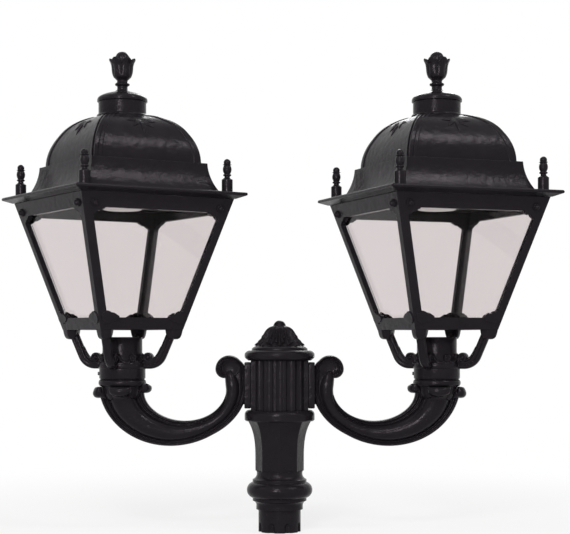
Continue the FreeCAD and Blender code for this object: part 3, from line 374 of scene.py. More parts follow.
finishes = {"cast_black": castBlack(), "clear_diffuser": clearDiffuser(),
            **{slot: plainFinish(**look) for slot, look in plainLooks.items()}}
slotOf = {row["node"]: row["material_slot"] for row in frame["record"]["subparts"]}
for nodeName, node in frame["nodes"].items():
    node.data.materials.clear()
    node.data.materials.append(finishes[slotOf[nodeName]])
print("finishes on", len(slotOf), "nodes")


# Scroll arms: half-ellipse arms with moulded borders, a hooded volute, a leaf cup and the fixing plate.
# Angles along an arm are in degrees, 0 at the hub and 180 at the cup; tables give angles, then values.

armFacts = {
    "reach": joints["right_lantern_turn"]["pos_m"][0] / mm,
    "root": 76.75, "level": 260.0, "drop": 82.0,
    "rootHalf": 19.0, "waistHalf": 17.3, "cupHalf": 42.7,
    "waist": 50.0, "growth": (2, 1.6),                # narrowest angle, powers of growth to root and cup
    "heel": (4.0, 60.0),                              # extra width under the cup, and the angle it starts at
    "plate": (51.6, 63.0, 22.0, 221.0, 304.0, 1.6),   # back, face, half width, foot, head, corner radius
    "wall": (57.0, 80.0, 8.0, 228.0, 298.0, 3.0),     # web between the plate and the arm
    "blockSquare": 0.16,
    "moulding": [(0.0, 0.0), (0.02, 4.4), (0.10, 6.9), (0.24, 8.3), (0.36, 8.3), (0.47, 6.1), (0.61, 5.5),
                 (0.71, 7.6), (0.81, 8.3), (0.91, 6.8), (0.98, 5.4), (1.25, 5.0)],   # share, half depth
    "drawn": 0.6,                                     # power by which the depth follows a drawn-in end
    "upperRun": (14, 174), "lowerRun": (174, 8),
    "upperWidth": ((12, 40, 90, 150, 180), (0.5, 5.0, 9.6, 15.0, 17.0)),
    "lowerWidth": ((0, 60, 100, 150, 180), (13.0, 10.2, 10.0, 13.0, 16.0)),
    "upperSwell": ((14, 40, 140, 174), (0.8, 1.05, 1.1, 1.4)),
    "lowerSwell": ((8, 40, 140, 174), (1.3, 1.1, 1.1, 1.4)),
    "rise": [(59.4, 262.0), (61.4, 280.0), (63.5, 298.0)],   # the border beside the plate
    "riseWidth": (12.4, 8.4), "riseSwell": (1.3, 1.72),
    "hood": (90.5, 291.3, 25.0, 20.0),                # centre, radius, and radius where it curls under
    "hoodRun": (138, -80), "hoodSwell": 1.75,
    "hoodWidth": ((-80, -30, 40, 138), (14.0, 13.0, 10.0, 8.4)),
    "dish": [(0.0, 6.0), (7.0, 6.2), (12.0, 7.4), (17.0, 9.6), (20.0, 10.2), (21.0, 6.0)],
    "dishDraw": ((-180, -140, -90, 0, 150, 180), (0.95, 0.75, 0.78, 0.98, 0.98, 0.95)),
    "coreRun": (2, 174), "coreShare": 0.92, "coreSquare": 0.9, "coreMore": 2.0,
    "coreDepth": ((0, 60, 140, 174), (1.15, 1.2, 1.1, 1.15)),
    "tip": -24.0, "lean": (3.0, 20.0),                # end under the hood; how far it leans out, from where
    "cup": [(0.0, 230.0), (24.0, 234.0), (32.0, 244.0), (35.0, 254.0), (37.6, 260.4)],
    "cupRing": [(37.6, 260.5), (40.6, 261.7), (42.3, 264.1), (42.7, 266.75), (42.3, 269.6), (40.8, 271.6),
                (38.0, 271.8), (0.0, 271.8)],         # radius, height
    "lip": [(29.0, 236.0), (34.0, 241.0), (39.0, 243.6), (44.0, 243.8), (49.0, 245.2), (52.3, 248.8),
            (53.0, 253.6), (51.0, 258.2), (47.0, 260.2), (43.2, 258.6), (42.0, 255.2), (43.6, 252.6),
            (42.4, 249.8), (40.0, 249.6), (38.6, 252.6), (37.6, 257.0), (36.4, 260.6), (29.0, 260.6)],
    "lipMiddle": (40.0, 249.0), "lipSpread": 27.0,
    "lipEnds": (0.45, 0.80),                          # how much the sides round off, and from which share
    "lipTongue": (0.34, 36.0, 2.2),                   # how much less the sides reach, from where, power
    "lipSag": (5.0, 2.5),                             # how far the sides stand up, power
    "lipTilt": 4.5,                                   # the outer lip stands lower, the inner one higher
    "lipRoot": (27.0, 37.0), "lipHead": (256.0, 262.0),   # radii where both set in, heights where they end
}


def armPath(t):
    # half-ellipse from the hub to the cup: centre, unit normal to its outer side, half width at each angle;
    # the width grows by powers both ways from the waist, and a sine hump pushes out the cup's underside
    f = armFacts
    span = (f["reach"] - f["root"]) / 2
    a = np.radians(t)
    centre = np.stack([(f["root"] + f["reach"]) / 2 - span * np.cos(a),
                       f["level"] - f["drop"] * np.sin(a)], -1)
    normal = unit(np.stack([-np.cos(a) / span, -np.sin(a) / f["drop"]], -1))
    early = np.clip((f["waist"] - t) / f["waist"], 0, 1) ** f["growth"][0]
    late = np.clip((t - f["waist"]) / (180 - f["waist"]), 0, 1) ** f["growth"][1]
    half = (f["waistHalf"] + (f["cupHalf"] - f["waistHalf"]) * late
            + (f["rootHalf"] - f["waistHalf"]) * early)
    extra, start = f["heel"]
    hump = extra / 2 * np.sin(math.pi * np.clip((t - start) / (180 - start), 0, 1))
    return centre + normal * hump[:, None], normal, half + hump


def mouldedRim(edge, width, swell, taper):
    # the moulding carried along its outer edge line: each section runs inwards, with both faces alike;
    # taper draws the sections in about their middle
    along = np.gradient(edge, axis=0)
    inward = unit(np.stack([along[:, 1], -along[:, 0]], -1))
    section = mirrored(curveThrough(armFacts["moulding"], 40))
    share = 0.5 + (section[:, 0] - 0.5) * taper[:, None]
    deep = (swell * taper ** armFacts["drawn"])[:, None] * section[:, 1]
    return swept(edge, inward, width[:, None] * share, deep)


def upperBorder():
    # border on the inner side of the curve, from where it rises out of the body to the cup
    f = armFacts
    t = np.linspace(*f["upperRun"], 120)
    centre, normal, half = armPath(t)
    return mouldedRim(centre - normal * half[:, None], np.interp(t, *f["upperWidth"]),
                      np.interp(t, *f["upperSwell"]), np.ones(len(t)))


def outerBorder():
    # one border from the cup along the underside, up beside the plate, and over the hood to its curled end:
    # a circle that tightens below its level axis, and a quarter round that closes the tip
    f = armFacts
    x, z, big, small = f["hood"]
    t = np.linspace(*f["lowerRun"], 110)
    centre, normal, half = armPath(t)
    under = centre + normal * half[:, None]
    turn = np.linspace(*f["hoodRun"], 80)
    radius = big - (big - small) * smoothStep(-turn, 0, 90)
    a = np.radians(turn)
    over = np.stack([x + radius * np.cos(a), z + radius * np.sin(a)], -1)
    step = 12        # points to each span of the rise, which is cut where it meets its neighbours
    rise = curveThrough([under[-8], under[-1], *f["rise"], over[0], over[8]], 6 * step + 1)[step + 1:5 * step]
    t, turn = t[:-1], turn[1:]
    edge = np.concatenate([under[:-1], rise, over[1:]])
    width = np.concatenate([np.interp(t, *f["lowerWidth"]), np.linspace(*f["riseWidth"], len(rise)),
                            np.interp(turn, *f["hoodWidth"])])
    swell = np.concatenate([np.interp(t, *f["lowerSwell"]), np.linspace(*f["riseSwell"], len(rise)),
                            np.full(len(turn), f["hoodSwell"])])
    tipSteps = 27
    end = np.clip((np.arange(len(edge)) - len(edge) + 1 + tipSteps) / tipSteps, 0, 1)
    return mouldedRim(edge, width, swell, np.sqrt(np.clip(1 - end ** 2, 0, 1)))


def armCore():
    # round body of the arm: a full oval between the borders, closing to a rounded end under the hood
    f = armFacts
    t = np.concatenate([f["tip"] * np.cos(np.linspace(0, math.pi / 2, 28)), np.linspace(*f["coreRun"], 110)])
    centre, normal, half = armPath(t)
    far, start = f["lean"]
    centre = centre + np.stack([far * smoothStep(-t, -start, -f["tip"]), 0 * t], -1)
    upper, lower = np.interp(t, *f["upperWidth"]), np.interp(t, *f["lowerWidth"])
    close = np.sqrt(np.clip(1 - (np.minimum(t, 0) / f["tip"]) ** 2, 0, 1))
    radius = (2 * half - f["coreShare"] * (upper + lower)) / 2 * close
    deep = radius * np.interp(t, *f["coreDepth"]) + f["coreMore"] * close
    c, s = softSquare(f["coreSquare"], 56)
    return swept(centre, normal, ((upper - lower) / 2)[:, None] + radius[:, None] * c, deep[:, None] * s)


def hoodDish():
    # hollow of the hood: a thin disc about a level axis, deeper in the middle, inside the border's circle
    x, z = armFacts["hood"][:2]
    profile = mirrored(curveThrough(armFacts["dish"], 36))
    turn = aroundCircle(72) - math.pi
    r = profile[:, :1] * np.interp(np.degrees(turn), *armFacts["dishDraw"])
    return np.stack([x + r * np.cos(turn), np.broadcast_to(profile[:, 1:], r.shape),
                     z + r * np.sin(turn)], -1)


def roundedBlock(back, face, halfWidth, foot, head, soft):
    # block with rounded corners: soft squares across, drawn in by a quarter round at both ends and closed
    c, s = softSquare(armFacts["blockSquare"], 64)
    bend = np.linspace(0, math.pi / 2, 7)
    inset, draw = soft * (1 - np.sin(bend)), soft * (1 - np.cos(bend))
    x = np.concatenate([[back], back + inset[::-1], face - inset, [face]])[:, None]
    draw = np.concatenate([[0.0], draw[::-1], draw, [0.0]])[:, None]
    full = np.concatenate([[0.0], np.ones(2 * len(bend)), [0.0]])[:, None]
    y = full * (halfWidth - draw) * c
    z = (foot + head) / 2 + full * ((head - foot) / 2 - draw) * s
    return np.stack([np.broadcast_to(x, y.shape), y, z], -1)


def cupRing():
    # flare of the cup and the moulded ring at its head, turned about the lantern's axis
    profile = np.concatenate([curveThrough(armFacts["cup"], 24), curveThrough(armFacts["cupRing"], 60)])
    return spun(profile[:, :1], profile[:, 1:], aroundCircle(96)) + (armFacts["reach"], 0, 0)


def leafLip(azimuth):
    # rolled leaf lip: its outline carried round the cup, reaching least and standing highest at its sides,
    # where it rounds off and closes to its middle
    f = armFacts
    loop = closedCurve(f["lip"], 90)
    u = np.concatenate([[-1.0], np.sin(np.linspace(-math.pi / 2, math.pi / 2, 41)), [1.0]])[:, None]
    off = np.abs(u)
    much, start = f["lipEnds"]
    size = np.sqrt(1 - much * np.clip((off - start) / (1 - start), 0, 1) ** 2)
    size[[0, -1]] = 0.0
    middle = np.array(f["lipMiddle"])
    at = middle + (loop - middle) * size[..., None]
    r, z = at[..., 0], at[..., 1]
    less, inner, power = f["lipTongue"]
    reach = r - less * np.clip(r - inner, 0, None) * off ** power
    sag, power = f["lipSag"]
    lift = sag * off ** power - f["lipTilt"] * math.cos(math.radians(azimuth))
    z = z + smoothStep(r, *f["lipRoot"]) * lift * (1 - smoothStep(z, *f["lipHead"]))
    angle = np.radians(azimuth + u * f["lipSpread"])
    return np.stack([f["reach"] + reach * np.cos(angle), reach * np.sin(angle), z], -1)


def scrollArm(side):
    # all the forms of one arm; the left one is the right one mirrored
    flip = np.array([sides[side], 1, 1]) * mm
    grids = [armCore(), upperBorder(), outerBorder(), roundedBlock(*armFacts["plate"]),
             roundedBlock(*armFacts["wall"]), cupRing(), *[leafLip(azimuth) for azimuth in quarterTurns]]
    piece = buildPiece("scroll_arm_" + side, "head", [grid * flip for grid in grids], [hoodDish() * flip])
    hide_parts("arm_" + side)


# Hub cap: ring, step and a dome carved with long leaves, under a ball

capFacts = {
    "ring": [(0.0, 307.0), (52.0, 307.0), (57.0, 307.6), (62.1, 311.6), (63.0, 316.0), (62.1, 320.4),
             (57.0, 324.4), (51.6, 325.0), (50.4, 325.8), (50.2, 328.0), (49.2, 329.3)],   # radius, height
    "dome": [(49.2, 329.3), (46.6, 331.2), (42.6, 333.6), (36.6, 339.0), (30.2, 349.0), (26.2, 357.0),
             (22.4, 362.8), (17.4, 366.8), (12.6, 368.8), (11.3, 369.4)],
    "ball": 11.4, "ballFrom": 0.13, "crown": 367.6,   # radius, angle where it leaves the dome, centre height
    "leaves": 8, "relief": 6.0, "ground": 0.35,       # ground: how far the carving lies below the profile
    "head": 369.0, "foot": 334.0, "fadeFoot": (331.5, 334.0), "fadeHead": (366.5, 369.4),
    "fingers": ((0.0, 1.0), (-0.23, 0.86), (0.23, 0.86), (-0.42, 0.62), (0.42, 0.62)),   # aim, end
    "between": ((0.0, 0.98),), "betweenStart": (0.45, 0.7), "betweenLength": 1.04, "betweenRelief": 0.85,
    "fan": (0.62, 0.38), "finger": (0.075, 0.045), "swell": (0.45, 0.40),   # at the head, gain to the foot
    "curl": (0.35, 0.09), "tipFade": (0.02, 0.05),    # rise and length of a curled tip; how sharply it ends
}


def leafRow(theta, drop, shift, fingers):
    # a row of leaves: each a fan of rounded fingers that spread and swell downwards to a curled tip
    f = capFacts
    a = (theta * f["leaves"] / (2 * math.pi) + shift + 0.5) % 1.0 - 0.5
    fall = np.clip(drop, 0, 1)
    rise, length = f["curl"]
    best = 0 * (a + drop)
    for aim, end in fingers:
        off = (a - aim * (f["fan"][0] + f["fan"][1] * fall)) / (f["finger"][0] + f["finger"][1] * fall)
        tall = f["swell"][0] + f["swell"][1] * drop + rise * np.exp(-((drop - end + length) / length) ** 2)
        ended = smoothStep(drop, end - f["tipFade"][0], end + f["tipFade"][1])
        best = np.maximum(best, np.exp(-off ** 2) * tall * (1 - ended) * (drop > 0))
    return best


def hubCap():
    # one profile of ring, dome and ball spun about the hub, with two rows of leaves pushed out of the dome
    f = capFacts
    ring, dome = curveThrough(f["ring"], 96), curveThrough(f["dome"], 150)
    lift = np.linspace(f["ballFrom"], math.pi / 2, 26)
    ball = np.stack([f["ball"] * np.cos(lift), f["crown"] + f["ball"] * np.sin(lift)], -1)
    profile = np.concatenate([ring, dome, ball])
    r, z = profile[:, :1], profile[:, 1:]
    theta = aroundCircle(640)
    band = np.repeat([0, 1, 0], [len(ring), len(dome), len(ball)])[:, None]
    band = band * smoothStep(z, *f["fadeFoot"]) * (1 - smoothStep(z, *f["fadeHead"]))
    drop = (f["head"] - z) / (f["head"] - f["foot"])
    between = (leafRow(theta, drop * f["betweenLength"], 0.5, f["between"])
               * smoothStep(drop, *f["betweenStart"]))
    carve = np.maximum(leafRow(theta, drop, 0.0, f["fingers"]), f["betweenRelief"] * between) - f["ground"]
    points = spun(r + f["relief"] * band * carve, z, theta)
    piece = buildPiece("carved_hub_cap", "head", [points * mm], sharp=60.0)
    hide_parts("hub_cap")


# Lantern yoke: collar and tube, four moulded legs with shaped feet, and scrolls on the legs and the tube

yokeFacts = {
    "outline": [(7.0, 349.0), (34.6, 349.0), (35.8, 347.8), (35.8, 326.0), (35.9, 322.2), (36.4, 317.0),
                (37.6, 311.6), (39.4, 307.0), (41.4, 303.8), (43.0, 301.6), (43.0, 294.6), (42.4, 293.4),
                (41.5, 293.0), (41.5, 276.2), (40.9, 274.5), (39.5, 273.6), (30.3, 273.6), (30.3, 344.0),
                (7.0, 344.0)],                             # collar and tube: radius, height
    "hip": (2, 10),                                        # the outline's points on the outside of the tube
    "leg": ((91.5, 354.0), (68.0, 300.1), 25.0, 30.0),     # top, corner, bend, inner end
    "legHalf": (7.7, 8.1), "legSquare": 0.8,
    "groove": (0.26, 2.1),                                 # share cut from the flank, half height
    "foot": [(84.0, -11.0), (86.0, -13.5), (93.0, -14.0), (100.0, -13.4), (107.4, -6.6), (112.4, -1.3),
             (113.3, 0.0), (112.4, 1.3), (107.4, 6.6), (100.0, 13.4), (93.0, 14.0), (86.0, 13.5),
             (84.0, 11.0), (83.2, 0.0)],                   # plan: outwards, sideways
    "footMiddle": (94.0, 0.0),
    "footDraw": [(362.0, 0.0), (362.0, 1.0), (357.0, 0.94), (353.0, 0.88), (349.0, 0.79), (346.6, 0.67),
                 (345.2, 0.5), (344.8, 0.3), (344.8, 0.0)],   # height, share of the plan
    "leaf": [(78.0, 336.0), (70.0, 320.0), (63.4, 311.4), (56.6, 307.0), (49.0, 305.6), (43.0, 306.4)],
    "leafHalf": (3.4, 7.4), "leafSquare": 0.6,
    "leafRib": (0.45, 0.22), "leafStart": 12, "leafTaper": (0.72, 0.28),
    "roll": [(0.0, 7.8), (2.2, 7.5), (3.3, 5.9), (4.3, 5.9), (5.4, 7.7), (7.2, 7.7), (8.4, 6.6), (8.8, 3.6),
             (8.8, -3.6), (8.4, -6.6), (7.2, -7.7), (5.4, -7.7), (4.3, -5.9), (3.3, -5.9), (2.2, -7.5),
             (0.0, -7.8)],                                 # rolled leaf end: radius, place along its axis
    "rollAt": (49.2, 312.6),
    "swag": [(-37.0, 320.0), (-33.0, 311.0), (-24.0, 304.6), (-13.0, 303.4), (-5.5, 307.6)],   # angle, height
    "swagHalf": 2.7, "swagProud": 0.6, "swagEnds": 6,
    "eye": [(0.0, 5.8), (2.0, 5.4), (2.9, 3.9), (3.6, 3.9), (5.2, 4.7), (6.7, 3.2), (7.2, 0.0), (6.0, -3.0),
            (0.0, -3.0)],                                  # scroll eye on the tube: radius, how proud
    "eyeAt": (39.4, 311.6),
}


def sideNormal(path):
    # unit normal to the left of a path in the XZ plane
    along = np.gradient(path, axis=0)
    return unit(np.stack([-along[:, 1], along[:, 0]], -1))


def yokeTube():
    # collar and tube: the closed outline spun about the lantern's axis
    loop = np.array(yokeFacts["outline"])
    return spun(loop[:, :1], loop[:, 1:], aroundCircle(128))


def yokeLeg():
    # a straight run from the foot, an arc, and a level run into the tube, with a rounded section that is
    # grooved along both flanks
    (topR, topZ), (r, z), bend, inner = yokeFacts["leg"]
    slope = math.atan2(topZ - z, topR - r)
    reach = bend * math.tan(slope / 2)
    angle = np.linspace(slope - math.pi / 2, -math.pi / 2, 24)
    arc = np.array([r - reach, z + bend]) + bend * np.stack([np.cos(angle), np.sin(angle)], -1)
    path = np.concatenate([np.linspace((topR, topZ), arc[0], 14)[:-1], arc,
                           np.linspace(arc[-1], (inner, z), 10)[1:]])
    half, deep = yokeFacts["legHalf"]
    cut, wide = yokeFacts["groove"]
    c, s = softSquare(yokeFacts["legSquare"], 64)
    flank = half * c * (1 - cut * np.exp(-(deep * s / wide) ** 2))
    return swept(path, sideNormal(path), deep * s + 0 * path[:, :1], flank)


def yokeFoot():
    # foot under a frame corner: its plan drawn in from the frame to a rounded underside
    loop = closedCurve(yokeFacts["foot"], 84)
    middle = np.array(yokeFacts["footMiddle"])
    height, share = np.array(yokeFacts["footDraw"]).T[:, :, None]
    plan = middle + (loop - middle) * share[..., None]
    return np.stack([plan[..., 0], plan[..., 1], np.broadcast_to(height, plan.shape[:2])], -1)


def legLeaf():
    # leaf strip along the leg's inner side to the roll, widening as it goes, with a groove along its middle
    f = yokeFacts
    path = curveThrough(f["leaf"], 60)
    u = np.linspace(0, 1, len(path))[:, None]
    thin, wide = f["leafHalf"]
    cut, groove = f["leafRib"]
    narrow, gain = f["leafTaper"]
    c, s = softSquare(f["leafSquare"], 48)
    across = thin * c * (1 - cut * np.exp(-(s / groove) ** 2)) * np.sqrt(np.clip(u * f["leafStart"], 0, 1))
    return swept(path, sideNormal(path), across, wide * (narrow + gain * u) * s)


def legRoll():
    # rolled end of the leaf: a grooved barrel spun about a level axis across the leg
    profile = curveThrough(yokeFacts["roll"], 90)
    turn = aroundCircle(48)
    at, z = yokeFacts["rollAt"]
    size = np.clip(profile[:, :1], 0, None)
    return np.stack([at + size * np.cos(turn), profile[:, 1:] + 0 * turn, z + size * np.sin(turn)], -1)


def hipRadius(z):
    # radius of the tube's outline at a height
    outline = np.array(yokeFacts["outline"][slice(*yokeFacts["hip"])])[::-1]
    return np.interp(z, outline[:, 1], outline[:, 0])


def tubeSwag(mirror):
    # round bead that hangs on the tube from a leg to a scroll eye, closed at both ends
    f = yokeFacts
    line = curveThrough(f["swag"], 40)
    theta, z = np.radians(line[:, 0]) * mirror, line[:, 1]
    r = hipRadius(z) + f["swagProud"]
    centre = np.stack([r * np.cos(theta), r * np.sin(theta), z], -1)
    along = unit(np.gradient(centre, axis=0))
    out = np.stack([np.cos(theta), np.sin(theta), 0 * z], -1)
    out = unit(out - along * (out * along).sum(-1, keepdims=True))
    beside = np.cross(along, out)
    u = np.linspace(-1, 1, len(line))
    size = (f["swagHalf"] * np.sqrt(np.clip(1 - u ** f["swagEnds"], 0, 1)))[:, None, None]
    angle = aroundCircle(20)[None, :, None]
    return centre[:, None] + size * (np.cos(angle) * out[:, None] + np.sin(angle) * beside[:, None])


def scrollEye():
    # knob in a rim, spun about a level axis that points away from the tube
    profile = curveThrough(yokeFacts["eye"], 60)
    turn = aroundCircle(40)
    at, z = yokeFacts["eyeAt"]
    size = np.clip(profile[:, :1], 0, None)
    return np.stack([at + profile[:, 1:] + 0 * turn, size * np.cos(turn), z + size * np.sin(turn)], -1)


def scrollYoke(side):
    # tube, four legs at the corners, and four eyes with their swags between the legs
    grids = []
    for turn in quarterTurns:
        grids += [turnedBy(form, 45 + turn) for form in (yokeLeg(), yokeFoot(), legLeaf(), legRoll())]
        grids += [turnedBy(form, turn) for form in (tubeSwag(1), tubeSwag(-1), scrollEye())]
    piece = buildPiece("scroll_yoke_" + side, "lantern_" + side, [placed(grid, side) for grid in grids],
                       [placed(yokeTube(), side)], 45.0)
    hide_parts("yoke_" + side)


# Domed nuts over the upper corners of each frame face

knobFacts = {
    "at": (121.25, -142.26, 575.0), "slant": 16.05,        # on the front face, and its lean in degrees
    "profile": [(7.2, -1.0), (7.2, 2.6), (6.5, 3.3), (5.7, 3.2), (5.2, 2.7), (5.0, 3.4), (4.4, 5.4),
                (3.0, 6.9), (1.4, 7.5), (0.0, 7.6)],           # radius, height over the face
}


def frameKnobs(side):
    # washer and dome, one profile spun about the normal of the leaning face, twice on each of the four faces
    profile = np.array(knobFacts["profile"])
    spin = aroundCircle(32)[:, None]
    lean = math.radians(knobFacts["slant"])
    out = np.array([0.0, -math.cos(lean), -math.sin(lean)])
    up = np.array([0.0, -math.sin(lean), math.cos(lean)])
    ring = profile[:, :1, None] * (np.cos(spin) * np.array([1.0, 0.0, 0.0]) + np.sin(spin) * up)
    knob = ring + profile[:, 1:, None] * out
    x, y, z = knobFacts["at"]
    grids = [placed(turnedBy(knob + (way * x, y, z), turn), side)
             for turn in quarterTurns for way in (-1, 1)]
    buildPiece("frame_knobs_" + side, "lantern_" + side, grids, sharp=50.0)


# Tulip finial on each roof; heights are over its foot

tulipFacts = {
    "petals": 6, "foot": 791.3, "top": 71.0, "lip": 59.0, "widest": 23.7,
    "outer": [(0.0, 0.0), (12.0, 0.0), (10.0, 2.0), (9.3, 5.0), (9.4, 8.0), (10.4, 9.2), (12.8, 10.6),
              (12.9, 13.2), (10.6, 15.0), (9.5, 17.0), (10.0, 19.4), (13.2, 22.6), (15.9, 25.4), (17.4, 30.4),
              (18.5, 38.0), (19.1, 44.0), (20.4, 49.4), (22.6, 54.2), (23.6, 57.0), (22.6, 59.0)],
    "inner": [(22.6, 59.0), (19.0, 58.4), (16.2, 56.0), (14.6, 50.0), (12.0, 38.0), (0.0, 36.0)],
    "petalStart": (24.0, 34.0), "flareFrom": 30.0,
    "notch": (8.0, 1.5, 1.4),                         # depth at the lip, powers along and across a petal
    "bulge": (2.0, 0.5, 0.9),                         # swell of a petal, its power, the share inside
    "rib": (0.6, 0.03), "flare": (1.8, 0.8),          # midrib height, width; flare at the lip, share inside
    "bud": [(0.0, 40.0), (13.6, 42.0)], "budHead": (13.6, 55.0, 0.8),   # stem; head: radius, height, power
    "budFold": (0.05, 0.22), "budFoldFrom": (50, 60),
}


def tulipFinial(side):
    # turned stem and cup: above the belly six petals swell between creases, flare to points at the lip and
    # drop to a notch at each crease; a round bud, folded in three, stands inside
    f = tulipFacts
    profile = np.concatenate([curveThrough(f["outer"], 170), curveThrough(f["inner"], 50)[1:]])
    r, up = profile[:, :1], profile[:, 1:]
    seen = aroundCircle(240)                          # as the head's frame has it
    theta = seen - lanternYaw(side)
    lobe = np.abs(np.sin(f["petals"] * (seen + math.pi / 2) / 2))   # zero in a crease
    share = np.clip((up - f["flareFrom"]) / (f["lip"] - f["flareFrom"]), 0, 1)
    deep, along, across = f["notch"]
    height = up - deep * share ** along * (1 - lobe) ** across
    swell, power, inside = f["bulge"]
    ribHigh, ribWide = f["rib"]
    flare, flareInside = f["flare"]
    rib = ribHigh * np.exp(-((1 - lobe) / ribWide) ** 2) * (1 - share)
    petal = swell * (lobe ** power - inside) + rib + share * flare * (lobe - flareInside)
    radius = np.clip(r + smoothStep(up, *f["petalStart"]) * petal, 0, f["widest"]) * (r > 0.01)
    wide, waist, power = f["budHead"]
    lift = np.linspace(0, math.pi / 2, 30)
    head = np.stack([wide * np.cos(lift) ** power, waist + (f["top"] - waist) * np.sin(lift)], -1)
    bud = np.concatenate([f["bud"], head])
    deep, broad = f["budFold"]
    fold = 1 - deep * np.exp(-(np.sin(1.5 * theta) / broad) ** 2) * smoothStep(bud[:, 1:], *f["budFoldFrom"])
    grids = [spun(radius, f["foot"] + height, theta), spun(bud[:, :1] * fold, f["foot"] + bud[:, 1:], theta)]
    piece = buildPiece("tulip_" + side, "roof_" + side, [placed(grid, side) for grid in grids], sharp=50.0)
    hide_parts("top_finial_" + side)


# Vent cap on each roof

ventFacts = {"profile": [(0.0, 771.4), (30.0, 771.4), (43.6, 771.5), (45.0, 773.0), (45.0, 776.0),
                         (43.4, 779.2), (40.0, 781.8), (33.0, 785.0), (26.0, 787.2), (19.5, 788.9),
                         (15.0, 790.2), (12.2, 791.2), (0.0, 791.3)]}    # radius, height


def ventCap(side):
    # turned cap: a rolled rim under a shallow hollow cone, one profile spun about the lantern's axis
    profile = curveThrough(ventFacts["profile"], 120)
    points = spun(np.clip(profile[:, :1], 0, None), profile[:, 1:], aroundCircle(144))
    piece = buildPiece("vent_hood_" + side, "roof_" + side, [placed(points, side)])
    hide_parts("vent_cap_" + side)


# Leaf sprigs in low relief under the neck, one on each face of the dome

sprigFacts = {
    # half width and height of the dome
    "dome": [(33.0, 745.3), (64.0, 735.8), (87.5, 711.3), (99.8, 685.3), (104.0, 658.3)],
    "root": 40.0,                                     # along the dome, from the first point down
    "leaves": ((-80, 29), (-44, 29), (0, 34), (44, 29), (80, 29)),   # lean in degrees, length
    "width": 4.4, "rise": 2.3, "sunk": 1.2,           # half width, height over the dome, depth into it
    "midrib": (1.1, 0.22), "belly": 0.85, "crest": 0.7,
}


def arcPoints(a, b, c, count):
    # points on the circle through three points, from the first to the last
    a, b, c = (np.array(p) for p in (a, b, c))
    centre = np.linalg.solve(2 * np.array([b - a, c - a]), np.array([b @ b - a @ a, c @ c - a @ a]))
    first, last = (math.atan2(*(p - centre)[::-1]) for p in (a, c))
    angle = np.linspace(first, last, count)
    return centre + np.linalg.norm(a - centre) * np.stack([np.cos(angle), np.sin(angle)], -1)


def onDome(down):
    # point and outward normal on the dome's two arcs, at a distance down from their top
    d = sprigFacts["dome"]
    line = np.concatenate([arcPoints(*d[:3], 80), arcPoints(*d[2:], 60)[1:]])
    step = np.linalg.norm(np.diff(line, axis=0), axis=1)
    gone = np.concatenate([[0.0], np.cumsum(step)])
    along = np.gradient(line, gone, axis=0)
    at = np.stack([np.interp(down, gone, line[:, k]) for k in range(2)], -1)
    normal = np.stack([np.interp(down, gone, -along[:, 1]), np.interp(down, gone, along[:, 0])], -1)
    return at, normal


def sprigLeaf(lean, length):
    # pointed leaf laid on the dome: a bulged section with a sunk midrib, drawn by sines to points at its ends
    f = sprigFacts
    u = np.sin(np.linspace(0, math.pi / 2, 25))[:, None] ** 2
    c, s = softSquare(1, 28)
    wide = f["width"] * np.sin(math.pi * u ** f["belly"]) * c
    rise = np.where(s > 0, f["rise"], f["sunk"]) * s
    depth, groove = f["midrib"]
    high = np.sin(math.pi * u) ** f["crest"] * (rise - depth * np.exp(-(c / groove) ** 2) * (rise > 0))
    along, a = u * length, math.radians(lean)
    at, normal = onDome(f["root"] + along * math.cos(a) - wide * math.sin(a))
    lateral = along * math.sin(a) + wide * math.cos(a)
    return np.stack([at[..., 0] + normal[..., 0] * high, lateral, at[..., 1] + normal[..., 1] * high], -1)


def roofSprigs(side):
    # five leaves on each of the four faces
    grids = [placed(turnedBy(sprigLeaf(*leaf), turn), side)
             for turn in quarterTurns for leaf in sprigFacts["leaves"]]
    buildPiece("roof_sprigs_" + side, "roof_" + side, grids, sharp=60.0)


hubCap()
for side in sides:
    scrollArm(side)
    scrollYoke(side)
    frameKnobs(side)
    ventCap(side)
    tulipFinial(side)
    roofSprigs(side)
print("carved pieces made")


# Floor, light and camera

studio = {
    "floorHalf": 12.0, "floorLevel": -0.0006, "floor": (0.86, 0.86, 0.86),
    "whiteShare": 0.80, "shadowReach": (0.35, 1.5),   # the floor turns plain white away from the object
    "ambient": 0.18,
    "camera": (0.0, -2.70, 0.3416), "focalPixels": 1500.0,
    "frame": (570.0, 534.0), "principal": (279.6, 341.2),   # in pixels
    "aim": (0.0, 0.0, 0.45),
}


def seenDirectly(tree):
    # one for rays from the camera, a gloss or a glass, which see the plain white background
    path = addNode(tree, "LightPath").outputs
    mirror = combined(tree, "MAXIMUM", path["Is Camera Ray"], path["Is Glossy Ray"])
    return combined(tree, "MAXIMUM", mirror, path["Is Transmission Ray"])


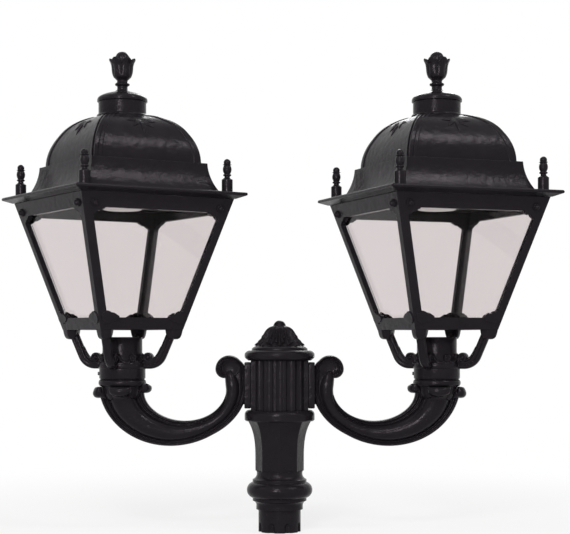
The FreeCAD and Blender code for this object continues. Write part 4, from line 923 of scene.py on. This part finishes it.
def makeStage():
    # flat floor that keeps the shadow near the object and turns white further out
    half, low = studio["floorHalf"], studio["floorLevel"]
    mesh = bpy.data.meshes.new("floor")
    mesh.from_pydata([(-half, -half, low), (half, -half, low), (half, half, low), (-half, half, low)], [],
                     [(0, 1, 2, 3)])
    floor = bpy.data.objects.new("floor", mesh)
    bpy.context.scene.collection.objects.link(floor)
    material = bpy.data.materials.new("paleFloor")
    material.use_nodes = True
    tree = material.node_tree
    tree.nodes.clear()
    matt = addNode(tree, "BsdfDiffuse", {"Color": (*studio["floor"], 1.0)})
    glow = addNode(tree, "Emission", {"Color": (1, 1, 1, 1), "Strength": 1.0})
    away = addNode(tree, "VectorMath", {0: objectPoint(tree)}, operation="LENGTH").outputs["Value"]
    white = ranged(tree, away, studio["shadowReach"], (studio["whiteShare"], 1.0),
                   interpolation_type="SMOOTHSTEP")
    share = combined(tree, "MULTIPLY", seenDirectly(tree), white)
    both = addNode(tree, "MixShader", {0: share, 1: matt.outputs["BSDF"], 2: glow.outputs["Emission"]})
    addNode(tree, "OutputMaterial", {"Surface": both.outputs["Shader"]})
    mesh.materials.append(material)


def makeWorld():
    # soft even light, seen as plain white
    world = bpy.data.worlds.new("studio")
    bpy.context.scene.world = world
    world.use_nodes = True
    tree = world.node_tree
    tree.nodes.clear()
    soft = addNode(tree, "Background", {"Color": (1, 1, 1, 1), "Strength": studio["ambient"]})
    white = addNode(tree, "Background", {"Color": (1, 1, 1, 1), "Strength": 1.0})
    both = addNode(tree, "MixShader", {0: seenDirectly(tree), 1: soft.outputs["Background"],
                                       2: white.outputs["Background"]})
    addNode(tree, "OutputWorld", {"Surface": both.outputs["Shader"]})


lamps = {
    "keyLamp": {"at": (-0.5, -2.5, 2.4), "size": 0.6, "power": 34.0},
    "frontLamp": {"at": (-0.7, -3.1, 0.8), "size": 0.65, "power": 50.0},
    "rightLamp": {"at": (1.9, -1.2, 2.8), "size": 0.6, "power": 25.0},
    "leftLamp": {"at": (-2.8, -0.4, 2.4), "size": 1.0, "power": 6.0},
    "backLamp": {"at": (0.4, 2.8, 2.4), "size": 1.2, "power": 26.0},
}


def makeLamps():
    # square soft lamps, each turned towards the middle of the object
    for name, facts in lamps.items():
        data = bpy.data.lights.new(name, "AREA")
        data.shape = "SQUARE"
        data.size = facts["size"]
        data.energy = facts["power"]
        lamp = bpy.data.objects.new(name, data)
        lamp.location = facts["at"]
        x, y, z = np.array(studio["aim"]) - np.array(facts["at"])
        lamp.rotation_euler = (math.acos(-z / math.hypot(x, y, z)), 0, math.atan2(y, x) - math.pi / 2)
        bpy.context.scene.collection.objects.link(lamp)


def makeCamera():
    # level camera; its shift puts the principal point where the photograph has it
    width, height = studio["frame"]
    x, y = studio["principal"]
    data = bpy.data.cameras.new("camera")
    data.sensor_fit = "HORIZONTAL"
    data.sensor_width = 36.0
    data.lens = data.sensor_width * studio["focalPixels"] / width
    data.shift_x = (width / 2 - x) / width
    data.shift_y = (y - height / 2) / width
    data.clip_end = 100.0
    camera = bpy.data.objects.new("camera", data)
    camera.location = studio["camera"]
    camera.rotation_euler = (math.pi / 2, 0, 0)
    bpy.context.scene.collection.objects.link(camera)
    bpy.context.scene.camera = camera


makeStage()
makeWorld()
makeLamps()
makeCamera()
bpy.context.scene.view_settings.view_transform = "Standard"
print("stage, light and camera set")
